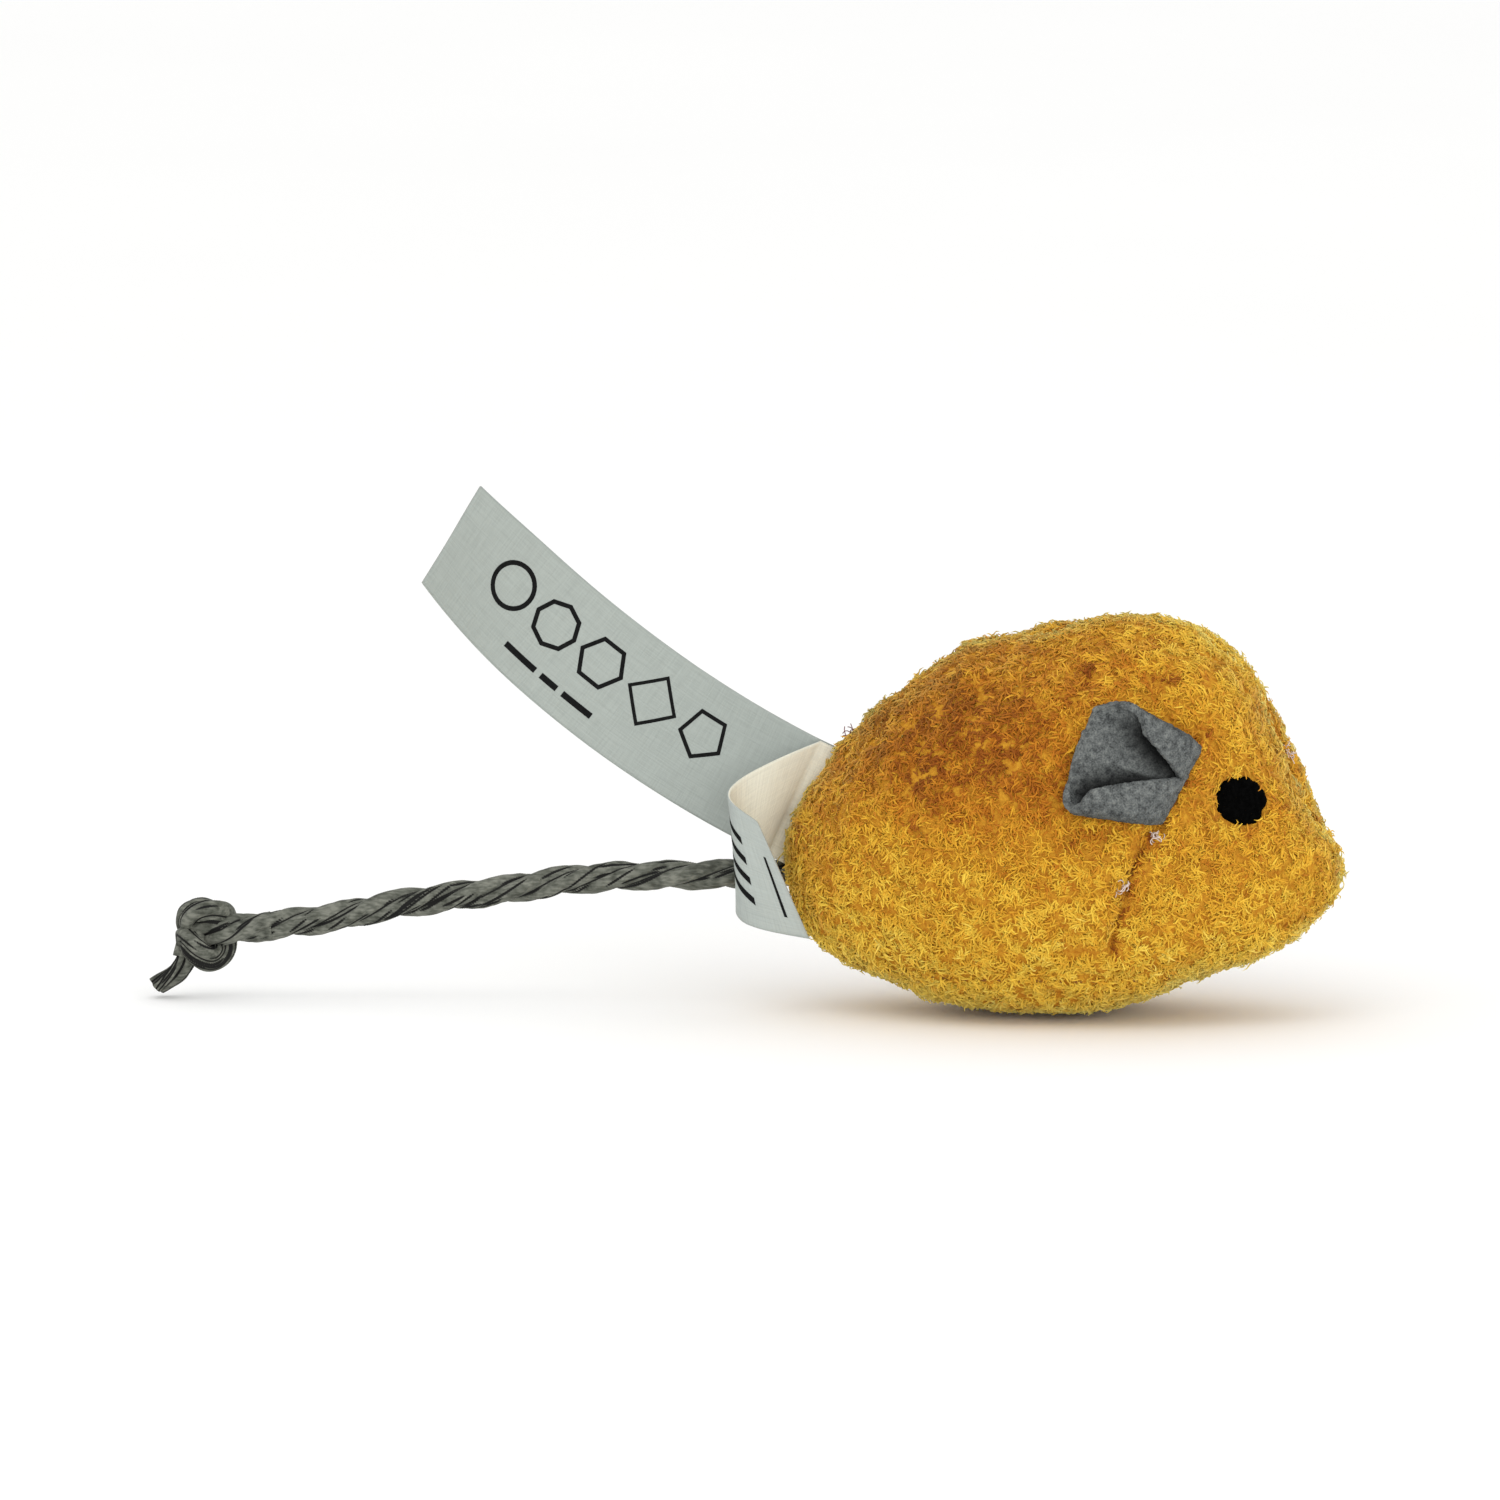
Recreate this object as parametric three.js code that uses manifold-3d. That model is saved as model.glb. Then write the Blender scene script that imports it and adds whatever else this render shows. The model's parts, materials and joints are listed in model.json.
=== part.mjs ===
// Catnip mouse: a stuffed plush cat toy with pleated felt ears, a knotted paper-cord tail and two sewn-in
// label tapes. Millimetres. +X points to the nose, +Y to the mouse's left side and +Z up. The origin is on
// the floor, on the flat of the belly.
import * as THREE from 'three';
import { mergeVertices } from 'three/addons/utils/BufferGeometryUtils.js';
import Module from 'manifold-3d';

const wasm = await Module();
wasm.setup();

// Driving dimensions of the stuffed body
const BODY_LENGTH = 71.6;
const BODY_HEIGHT = 50.2;
const BODY_WIDTH = 43;
const REST_SHARE = 0.474; // where the origin lies along the body, from the rear tip to the nose
const FLAT_DEPTH = 0.5; // how much of the belly is pressed flat on the floor
const BULGE_SHARE = 0.46; // height of the widest line on each rib
const UPPER_FULLNESS = 2.1; // 2 is an ellipse, more is squarer
const LOWER_FULLNESS = 2.9;
const PLUSH_THICK = 2;
const SEAM_GAP = 0.3; // between two sewn panels
const CLEARANCE = 0.3; // between pieces that touch on the real toy
const BELLY_SEAM_HEIGHT = 6;
const SEAM_THREAD_RADIUS = 0.25;

// Stations from the rear tip to the nose: the profile's top and bottom points and the half width between
// them, as shares of the body's length, height and half width
const REAR_TIP = [0, 0.368];
const NOSE_TIP = [1, 0.358];
const STATIONS = [
  { top: [0.022, 0.51], bottom: [0.017, 0.277], half: 0.2 },
  { top: [0.092, 0.666], bottom: [0.065, 0.168], half: 0.47 },
  { top: [0.2, 0.814], bottom: [0.146, 0.081], half: 0.72 },
  { top: [0.353, 0.95], bottom: [0.296, 0.014], half: 0.93 },
  { top: [0.518, 0.992], bottom: [0.452, 0.001], half: 1 },
  { top: [0.658, 1], bottom: [0.566, 0.003], half: 0.98 },
  { top: [0.753, 0.978], bottom: [0.679, 0.046], half: 0.9 },
  { top: [0.828, 0.875], bottom: [0.786, 0.093], half: 0.77 },
  { top: [0.893, 0.7], bottom: [0.878, 0.14], half: 0.59 },
  { top: [0.948, 0.508], bottom: [0.95, 0.24], half: 0.4 },
  { top: [0.99, 0.428], bottom: [0.99, 0.299], half: 0.21 },
];
const BODY_RINGS = 26;
const BODY_SIDES = 26;
const HALVINGS = 40; // of a search along the body's curves

// Stuffing and the catnip pouch inside it
const STUFFING_GAP = 0.5; // between the panels and the wads
const STUFFING_RINGS = 20;
const POUCH_SIDES = 16;
const POUCH_RINGS = 10;
const POUCH_LENGTH = 24;
const POUCH_WIDTH = 18;
const POUCH_HEIGHT = 22;
const POUCH_UP = 24;
const POUCH_BACK = 2; // behind the origin

// Ears: a felt piece whose base is sewn into a dart and whose sides fold forward
const FELT_THICK = 1.2;
const EAR_BEHIND_NOSE = 19.46; // middle of the sewn base, in the side view
const EAR_BELOW_TOP = 18.3;
const EAR_LEAN = 25; // degrees, top of the base towards the nose
const EAR_RISE = 14; // degrees, the free end above the base
const EAR_LENGTH = 14; // from the sewn base to the free end
const EAR_BASE_WIDTH = 11;
const EAR_SPREAD = 13.8; // widest, across the middle
const EAR_END_WIDTH = 8.2;
const FOLD_PINCH = 0.5; // room between the layers at the base
const FOLD_OPEN = 2.2; // and at the free end
const FLAP_GAP = 0.5; // between the two folded sides at the base
const FOLD_OPENS_AT = 0.3; // share of the ear's length from where the folds open
const UPPER_FLAP_END = 0.3; // width that is left of each folded side
const UPPER_FLAP_ENDS_AT = 0.8; // and the share of the ear's length where the upper one has it
const LOWER_FLAP_END = 2;
const UPPER_CURL_END = 40; // degrees, how far the upper side is still folded at the free end
const LOWER_CURL_END = 150;
const EAR_STEPS = 9;

// Eyes: black pads that sit in a shallow seat
const EYE_LENGTH = 6.8;
const EYE_HEIGHT = 5.9;
const EYE_SUNK = 0.7;
const EYE_PROUD = 0.6;
const EYE_BEHIND_NOSE = 11.66;
const EYE_BELOW_TOP = 21.4;
const EYE_DOME = [[1, 0], [0.8, 0.6], [0.45, 0.92], [0, 1]]; // shares of its half width and of its rise
const EYE_SIDES = 20;

// Thread ends that show in the pile, on the ear's dart and on the middle seam
const TACK_RADIUS = 0.4;
const TACK_LENGTH = 2.2;
const EAR_TACK_BELOW = 1.6; // below the ear's lower corner, along the dart
const DART_THREAD_BELOW = 8.6;
const DART_THREAD_SHIFT = 0.7; // towards the tail, because the dart curves
const FOREHEAD_BELOW_TOP = 16.8;
const RUMP_THREAD_ABOVE = 1.9; // above the tapes' upper edges

// Tail cord: where it leaves the rear seam, and its route, measured from the middle of its rounded root
const CORD_DIAMETER = 3.5;
const CORD_SIDES = 8;
const CORD_STEP = 2.5; // diameters between two rings of the cord
const EXIT_BELOW_TIP = 1.76; // below the body's rear tip
const EXIT_SIDE = 1.3;
const ANCHOR_LENGTH = 8;
const ANCHOR_KNOT_DIAMETER = 6.5;
const ROOT_ROUTE = [
  [0, 0, 0], [-9.5, -0.5, -0.2], [-16.9, -0.8, -0.4], [-24.4, -1.2, -1], [-31.8, -1.5, -2.2],
];
const END_ROUTE = [
  [-39.3, -1.8, -3.3], [-46.6, -2.2, -4.4], [-54, -2.5, -6], [-61.5, -2.8, -7.1],
];
const KNOT_PLACE = [-70.2, -3.2, -8.3];
const TIP_ROUTE = [[-73, -3.3, -12.2], [-74.9, -3.4, -13.6], [-76.8, -3.5, -14.6]];
const TIP_DIAMETER = 3;
const KNOT_LENGTH = 7.2;
const KNOT_HEIGHT = 9.2;
const KNOT_DEPTH = 7;
const KNOT_TILT = 16; // degrees, top of the knot towards the tip

// Label tapes
const TAPE_WIDTH = 16;
const TAPE_THICK = 0.35;
const TAPE_STEPS = 14;
const LABEL_ABOVE_CORD = 0.8; // lower corner of both sewn edges, above the cord
const REAR_SEAM_LEAN = 25; // degrees from upright, where the tapes are sewn in
const LABEL_GAP = 0.35; // between the two tapes at the seam
const CARE_LENGTH = 57;
const CARE_RISE = [25, 52]; // degrees, how steeply it climbs at the seam and at its free end
const CARE_SWAY = [28, -28]; // degrees, leaning to the left side at the seam and back to the right
const CARE_TWIST = 30; // degrees, how far its lower edge turns towards the right side along its length
const FOLD_REACH = 6.8; // from the seam out to the fold
const FOLD_DEPTH = 8.7; // from the far layer to the near one
const FOLD_DROP = 9.2; // the free end hangs lower than the sewn edge
const FOLD_RETURN = 6.6; // from the fold back to the free end
const FOLD_END_LEAN = 24; // degrees, lower corner of the free end towards the nose
const FOLD_ROUTE = [ // shares of its reach, depth and drop
  [0.5, 0.28, 0.28], [0.93, 0.48, 0.55], [0.98, 0.78, 0.7], [0.72, 0.97, 0.82],
];

const FINISHES = {
  plush: { color: 0xc6962d, roughness: 0.95 },
  felt: { color: 0x6e716f, roughness: 0.95 },
  eye: { color: 0x0b0b0c, roughness: 0.8 },
  cord: { color: 0x5f6158, roughness: 0.75 },
  tape: { color: 0xbcc4be, roughness: 0.6 },
  stuffing: { color: 0xf2f0ea, roughness: 0.95 },
  pouch: { color: 0xd9dccb, roughness: 0.9 },
  thread: { color: 0xe6d6cf, roughness: 0.8 },
};

const DEGREE = Math.PI / 180;
const vec = (x, y, z) => new THREE.Vector3(x, y, z);

// Solids: closed meshes in and out of the boolean library

function stripped(geometry) {
  const bare = geometry.clone();
  bare.deleteAttribute('normal');
  bare.deleteAttribute('uv');
  return bare;
}

function solidOf(geometry) {
  const merged = mergeVertices(stripped(geometry), 1e-4);
  return new wasm.Manifold(new wasm.Mesh({
    numProp: 3,
    vertProperties: new Float32Array(merged.attributes.position.array),
    triVerts: new Uint32Array(merged.index.array),
  }));
}

function geometryOf(solid) {
  const mesh = solid.getMesh();
  const geometry = new THREE.BufferGeometry();
  geometry.setAttribute('position', new THREE.BufferAttribute(new Float32Array(mesh.vertProperties), 3));
  geometry.setIndex(new THREE.BufferAttribute(new Uint32Array(mesh.triVerts), 1));
  return geometry;
}

function boxBetween(low, high) {
  const geometry = new THREE.BoxGeometry(high.x - low.x, high.y - low.y, high.z - low.z);
  geometry.translate((low.x + high.x) / 2, (low.y + high.y) / 2, (low.z + high.z) / 2);
  return solidOf(geometry);
}

// A closed skin over rings of points, each ring with the same count, capped by a fan at both ends
function loftRings(rings) {
  const count = rings[0].length;
  const points = rings.flat();
  const triangles = [];
  for (let ring = 0; ring + 1 < rings.length; ring += 1) {
    for (let side = 0; side < count; side += 1) {
      const next = (side + 1) % count;
      const a = ring * count + side;
      const b = ring * count + next;
      triangles.push(a, b, a + count, b, b + count, a + count);
    }
  }
  const capAt = (ring, flip) => {
    const middle = new THREE.Vector3();
    rings[ring].forEach((point) => middle.addScaledVector(point, 1 / count));
    points.push(middle);
    for (let side = 0; side < count; side += 1) {
      const a = ring * count + side;
      const b = ring * count + ((side + 1) % count);
      triangles.push(points.length - 1, flip ? b : a, flip ? a : b);
    }
  };
  capAt(0, true);
  capAt(rings.length - 1, false);
  const geometry = new THREE.BufferGeometry();
  geometry.setAttribute('position', new THREE.Float32BufferAttribute(points.flatMap((p) => p.toArray()), 3));
  geometry.setIndex(triangles);
  return geometry;
}

// Outward faces: a loft that came out inside out is turned
function outward(geometry) {
  const { position } = geometry.attributes;
  const index = geometry.index.array;
  const corner = (i) => new THREE.Vector3().fromBufferAttribute(position, index[i]);
  let volume = 0;
  for (let i = 0; i < index.length; i += 3) {
    volume += corner(i).dot(corner(i + 1).cross(corner(i + 2)));
  }
  if (volume < 0) {
    for (let i = 0; i < index.length; i += 3) {
      [index[i + 1], index[i + 2]] = [index[i + 2], index[i + 1]];
    }
  }
  return geometry;
}

// A sheet of even thickness over a grid of points, rows of the same count
function thickSheet(grid, thick) {
  const rows = grid.length;
  const columns = grid[0].length;
  const at = (row, column) => {
    const r = Math.min(Math.max(row, 0), rows - 1);
    const c = Math.min(Math.max(column, 0), columns - 1);
    return grid[r][c].clone();
  };
  const points = [];
  [thick / 2, -thick / 2].forEach((offset) => {
    for (let row = 0; row < rows; row += 1) {
      for (let column = 0; column < columns; column += 1) {
        const down = at(row + 1, column).sub(at(row - 1, column));
        const across = at(row, column + 1).sub(at(row, column - 1));
        points.push(at(row, column).addScaledVector(down.cross(across).normalize(), offset));
      }
    }
  });
  const below = rows * columns;
  const triangles = [];
  const quad = (a, b, c, d) => triangles.push(a, b, c, a, c, d);
  for (let row = 0; row + 1 < rows; row += 1) {
    for (let column = 0; column + 1 < columns; column += 1) {
      const a = row * columns + column;
      quad(a, a + columns, a + columns + 1, a + 1);
      quad(below + a, below + a + 1, below + a + columns + 1, below + a + columns);
    }
    const first = row * columns;
    const last = first + columns - 1;
    quad(first, below + first, below + first + columns, first + columns);
    quad(last, last + columns, below + last + columns, below + last);
  }
  for (let column = 0; column + 1 < columns; column += 1) {
    const foot = (rows - 1) * columns + column;
    quad(column, column + 1, below + column + 1, below + column);
    quad(foot, below + foot, below + foot + 1, foot + 1);
  }
  const geometry = new THREE.BufferGeometry();
  geometry.setAttribute('position', new THREE.Float32BufferAttribute(points.flatMap((p) => p.toArray()), 3));
  geometry.setIndex(triangles);
  return outward(geometry);
}

function cordAlong(points, radius) {
  const curve = new THREE.CatmullRomCurve3(points);
  const steps = Math.max(2, Math.round(curve.getLength() / (CORD_STEP * CORD_DIAMETER)));
  const round = new THREE.Shape();
  for (let side = 0; side < CORD_SIDES; side += 1) {
    const turn = ((side + 0.5) / CORD_SIDES) * 2 * Math.PI;
    const x = radius * Math.cos(turn);
    const y = radius * Math.sin(turn);
    if (side === 0) {
      round.moveTo(x, y);
    } else {
      round.lineTo(x, y);
    }
  }
  round.closePath();
  return solidOf(new THREE.ExtrudeGeometry(round, { steps, extrudePath: curve, bevelEnabled: false }));
}

// Body form: ribs between the profile's top and bottom, each rib with a rounded section

const placeOf = ([along, up], half) => vec(
  (along - REST_SHARE) * BODY_LENGTH,
  (half * BODY_WIDTH) / 2,
  up * (BODY_HEIGHT + FLAT_DEPTH) - FLAT_DEPTH,
);
const LOOP = new THREE.CatmullRomCurve3([
  placeOf(REAR_TIP, 0),
  ...STATIONS.map((station) => placeOf(station.top, station.half)),
  placeOf(NOSE_TIP, 0),
  ...STATIONS.map((station) => placeOf(station.bottom, -station.half)).reverse(),
], true, 'centripetal');
const BODY_MIDDLE = vec((0.5 - REST_SHARE) * BODY_LENGTH, 0, BODY_HEIGHT / 2);
const NOSE = placeOf(NOSE_TIP, 0);

// Moves a point in towards the body's middle, so that the body's box loses inset on each side
function drawnIn(point, inset) {
  const shares = [BODY_LENGTH, BODY_WIDTH, BODY_HEIGHT].map((size) => 1 - (2 * inset) / size);
  return point.sub(BODY_MIDDLE).multiply(vec(...shares)).add(BODY_MIDDLE);
}

// The rib at a place from 0, the rear tip, to 1, the nose: its middle, its half height and its half width
function ribAt(place) {
  const top = LOOP.getPoint(place / 2);
  const bottom = LOOP.getPoint((1 - place / 2) % 1);
  const rise = top.clone().sub(bottom).setY(0);
  const half = (top.y - bottom.y) / 2;
  const middle = bottom.clone().setY(0).addScaledVector(rise, BULGE_SHARE);
  return { middle, rise, half };
}

function skinPoint(place, turn, inset = 0) {
  const { middle, rise, half } = ribAt(place);
  const up = Math.sin(turn);
  const side = Math.cos(turn);
  const power = 2 / (up >= 0 ? UPPER_FULLNESS : LOWER_FULLNESS);
  const share = up >= 0 ? 1 - BULGE_SHARE : BULGE_SHARE;
  const point = middle.clone().addScaledVector(rise, Math.sign(up) * Math.abs(up) ** power * share);
  point.y = half * Math.sign(side) * Math.abs(side) ** power;
  return drawnIn(point, inset);
}

function bodyForm(inset, rings = BODY_RINGS, sides = BODY_SIDES) {
  const rows = [];
  for (let ring = 1; ring < rings; ring += 1) {
    const place = (1 - Math.cos((ring / rings) * Math.PI)) / 2;
    const row = [];
    for (let side = 0; side < sides; side += 1) {
      row.push(skinPoint(place, ((side + 0.5) / sides) * 2 * Math.PI, inset));
    }
    rows.push(row);
  }
  const form = outward(loftRings(rows));
  const points = form.attributes.position;
  const rear = skinPoint(0, 0, inset);
  const nose = skinPoint(1, 0, inset);
  points.setXYZ(points.count - 2, rear.x, rear.y, rear.z);
  points.setXYZ(points.count - 1, nose.x, nose.y, nose.z);
  return solidOf(form);
}

// The skin's point and outward normal at a place of the side view; side is -1 for the right, 1 for the left
function skinAt(x, z, side) {
  const offLine = (place) => {
    const { middle, rise } = ribAt(place);
    return (x - middle.x) * rise.z - (z - middle.z) * rise.x;
  };
  const tipShare = 0.001; // the ribs shrink to a point at both tips
  let low = tipShare;
  let high = 1 - tipShare;
  for (let halving = 0; halving < HALVINGS; halving += 1) {
    const between = (low + high) / 2;
    if (offLine(between) > 0) {
      low = between;
    } else {
      high = between;
    }
  }
  const { middle, rise, half } = ribAt(low);
  const reach = ((x - middle.x) * rise.x + (z - middle.z) * rise.z) / rise.lengthSq();
  const share = reach >= 0 ? reach / (1 - BULGE_SHARE) : -reach / BULGE_SHARE;
  const fullness = reach >= 0 ? UPPER_FULLNESS : LOWER_FULLNESS;
  const out = half * Math.max(0, 1 - share ** fullness) ** (1 / fullness);
  return vec(x, side * out, z);
}

function skinFrame(x, z, side) {
  const probe = 0.5;
  const point = skinAt(x, z, side);
  const alongX = skinAt(x + probe, z, side).sub(skinAt(x - probe, z, side));
  const alongZ = skinAt(x, z + probe, side).sub(skinAt(x, z - probe, side));
  const normal = alongX.cross(alongZ).normalize();
  if (normal.y * side < 0) {
    normal.negate();
  }
  return { point, normal };
}

// A point of the profile's outline in the middle plane, by its share of the closed loop, moved in by inset
function outlinePoint(share, inset = 0) {
  return drawnIn(LOOP.getPoint((share + 1) % 1).setY(0), inset);
}

// Stretches of the outline, as shares of the loop, that climb or fall all the way
const REAR_TOP = [0, 0.2];
const FRONT_TOP = [0.35, 0.5];
const FRONT_BOTTOM = [0.5, 0.7];
const REAR_BOTTOM = [0.8, 0.9999];

// The share of the loop where a stretch passes a height
function shareAtHeight(height, [from, to]) {
  const climbs = LOOP.getPoint(to).z > LOOP.getPoint(from).z;
  let low = from;
  let high = to;
  for (let halving = 0; halving < HALVINGS; halving += 1) {
    const between = (low + high) / 2;
    if ((LOOP.getPoint(between).z < height) === climbs) {
      low = between;
    } else {
      high = between;
    }
  }
  return low;
}

// A place on the middle seam: its point, the seam's direction there and the way out of the body
function seamAt(height, stretch) {
  const share = shareAtHeight(height, stretch);
  const probe = 0.01;
  const along = outlinePoint(share + probe).sub(outlinePoint(share - probe)).normalize();
  return { point: outlinePoint(share), along, out: vec(-along.z, 0, along.x) };
}

const root = new THREE.Group();

function addPiece(name, solid, finish) {
  const material = new THREE.MeshStandardMaterial({ ...finish, metalness: 0 });
  const mesh = new THREE.Mesh(geometryOf(solid), material);
  mesh.name = name;
  root.add(mesh);
}

const SIDES = [['right', -1], ['left', 1]];

// Places that several pieces share: the cord's exit, the tapes' sewn edges and the ears' sewn bases
const CORD_RADIUS = CORD_DIAMETER / 2;
const EXIT_UP = placeOf(REAR_TIP, 0).z - EXIT_BELOW_TIP;
const TAPE_HALF_RISE = (TAPE_WIDTH / 2) * Math.cos(REAR_SEAM_LEAN * DEGREE);
const LABEL_ROOT_UP = EXIT_UP + CORD_RADIUS + LABEL_ABOVE_CORD + TAPE_HALF_RISE;
const EAR_BASE_X = NOSE.x - EAR_BEHIND_NOSE;
const EAR_BASE_Z = BODY_HEIGHT - EAR_BELOW_TOP;

// The place on the dart line, in the side view, that lies across from the middle of the ear's base
const onDart = (across) => [
  EAR_BASE_X + across * Math.sin(EAR_LEAN * DEGREE),
  EAR_BASE_Z + across * Math.cos(EAR_LEAN * DEGREE),
];

// Seam threads: one from the tail over the back to the chin, one round the belly panel

const THREAD_SIDES = 6;
const THREAD_STEPS = 36;
const THREAD_INSET = PLUSH_THICK / 2;

function threadAlong(points, radius, steps) {
  const section = new THREE.Shape();
  for (let side = 0; side < THREAD_SIDES; side += 1) {
    const turn = (side / THREAD_SIDES) * 2 * Math.PI;
    const corner = [radius * Math.cos(turn), radius * Math.sin(turn)];
    if (side === 0) {
      section.moveTo(...corner);
    } else {
      section.lineTo(...corner);
    }
  }
  const curve = new THREE.CatmullRomCurve3(points);
  return solidOf(new THREE.ExtrudeGeometry(section, { steps, extrudePath: curve, bevelEnabled: false }));
}

function centreSeamRoute() {
  const start = shareAtHeight(EXIT_UP + CORD_DIAMETER, REAR_TOP);
  const end = shareAtHeight(BELLY_SEAM_HEIGHT + PLUSH_THICK, FRONT_BOTTOM);
  const points = [];
  for (let step = 0; step <= THREAD_STEPS; step += 1) {
    points.push(outlinePoint(start + ((end - start) * step) / THREAD_STEPS, THREAD_INSET));
  }
  return points;
}

function bellySeamRoute() {
  const front = outlinePoint(shareAtHeight(BELLY_SEAM_HEIGHT, FRONT_BOTTOM)).x - THREAD_INSET;
  const rear = outlinePoint(shareAtHeight(BELLY_SEAM_HEIGHT, REAR_BOTTOM)).x + THREAD_INSET;
  const openAt = 0.02; // share of the loop that its two ends stop short of the rear
  const points = [];
  for (let step = 0; step <= THREAD_STEPS; step += 1) {
    const turn = (openAt + ((1 - 2 * openAt) * step) / THREAD_STEPS) * 2 * Math.PI;
    const x = (front + rear) / 2 - (Math.cos(turn) * (front - rear)) / 2;
    const side = Math.sin(turn) < 0 ? -1 : 1;
    const out = Math.abs(skinAt(x, BELLY_SEAM_HEIGHT, side).y);
    points.push(vec(x, side * Math.max(0, out - THREAD_INSET), BELLY_SEAM_HEIGHT));
  }
  return points;
}

function seamThreads(spare) {
  return {
    centre: threadAlong(centreSeamRoute(), SEAM_THREAD_RADIUS + spare, THREAD_STEPS),
    belly: threadAlong(bellySeamRoute(), SEAM_THREAD_RADIUS + spare, THREAD_STEPS),
  };
}

// Tail: the anchor inside the rear seam, the free cord in two stretches, the knot and the bare end

const EXIT = outlinePoint(shareAtHeight(EXIT_UP, REAR_BOTTOM)).setY(EXIT_SIDE);
const SWIVEL = EXIT.clone().add(vec(-CLEARANCE - CORD_RADIUS, 0, 0));
const BALL_SIDES = 12;

const onRoute = (place) => SWIVEL.clone().add(vec(...place));

function ballAt(centre, diameter) {
  const geometry = new THREE.SphereGeometry(diameter / 2, BALL_SIDES, BALL_SIDES / 2);
  geometry.translate(...centre.toArray());
  return solidOf(geometry);
}

function anchorSolid(spare) {
  const inner = EXIT.clone().add(vec(ANCHOR_LENGTH, 0, 0));
  const outer = EXIT.clone().add(vec(-spare, 0, 0));
  const stub = cordAlong([outer, inner], CORD_RADIUS + spare);
  return stub.add(ballAt(inner, ANCHOR_KNOT_DIAMETER + 2 * spare));
}

function knotSolid(spare) {
  const geometry = new THREE.SphereGeometry(0.5, BALL_SIDES, BALL_SIDES);
  geometry.scale(KNOT_LENGTH + 2 * spare, KNOT_DEPTH + 2 * spare, KNOT_HEIGHT + 2 * spare);
  geometry.rotateY(-KNOT_TILT * DEGREE);
  geometry.translate(...onRoute(KNOT_PLACE).toArray());
  return solidOf(geometry);
}

function addTail() {
  const bend = onRoute(ROOT_ROUTE.at(-1));
  const onward = onRoute(END_ROUTE[0]).sub(bend).normalize();
  const endStart = bend.clone().addScaledVector(onward, CORD_RADIUS + CLEARANCE);
  const rootCord = cordAlong(ROOT_ROUTE.map(onRoute), CORD_RADIUS);
  const endCord = cordAlong([endStart, ...[...END_ROUTE, KNOT_PLACE].map(onRoute)], CORD_RADIUS);
  const tip = cordAlong([KNOT_PLACE, ...TIP_ROUTE].map(onRoute), TIP_DIAMETER / 2);
  const roomForKnot = knotSolid(CLEARANCE);
  const pivots = ballAt(SWIVEL, CORD_DIAMETER).add(ballAt(bend, CORD_DIAMETER));
  addPiece('tail_anchor', anchorSolid(0), FINISHES.cord);
  addPiece('tail_cord_root', rootCord.add(pivots), FINISHES.cord);
  addPiece('tail_cord_end', endCord.subtract(roomForKnot), FINISHES.cord);
  addPiece('tail_knot', knotSolid(0), FINISHES.cord);
  addPiece('tail_tip', tip.subtract(roomForKnot), FINISHES.cord);
}

// Eyes: an oval pad with a low dome, along the skin's normal

function eyeSolid(side, spare) {
  const rim = 1 + spare;
  const foot = -EYE_SUNK - spare;
  const dome = EYE_DOME.map(([wide, high]) => [rim * wide, high * (EYE_PROUD + spare)]);
  const profile = [[0, foot], [rim, foot], ...dome].map(([x, y]) => new THREE.Vector2(x, y));
  const geometry = new THREE.LatheGeometry(profile, EYE_SIDES);
  geometry.scale((EYE_LENGTH / 2 + spare) / rim, 1, (EYE_HEIGHT / 2 + spare) / rim);
  const { point, normal } = skinFrame(NOSE.x - EYE_BEHIND_NOSE, BODY_HEIGHT - EYE_BELOW_TOP, side);
  const upward = vec(0, 0, 1).addScaledVector(normal, -normal.z).normalize();
  const along = normal.clone().cross(upward).negate();
  const turned = new THREE.Matrix4().makeBasis(along, normal, upward.clone().negate());
  geometry.applyMatrix4(turned.setPosition(point));
  return solidOf(outward(mergeVertices(stripped(geometry), 1e-4)));
}

function addEyes() {
  SIDES.forEach(([name, side]) => addPiece(`${name}_eye`, eyeSolid(side, 0), FINISHES.eye));
}

// Body: plush panels over stuffing wads, with the catnip pouch between the wads

const FAR = BODY_LENGTH + BODY_HEIGHT + BODY_WIDTH; // past every side of the body

function pouchSolid(spare) {
  const geometry = new THREE.SphereGeometry(0.5, POUCH_SIDES, POUCH_RINGS);
  geometry.scale(POUCH_LENGTH + 2 * spare, POUCH_WIDTH + 2 * spare, POUCH_HEIGHT + 2 * spare);
  geometry.translate(-POUCH_BACK, 0, POUCH_UP);
  return solidOf(geometry);
}

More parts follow.
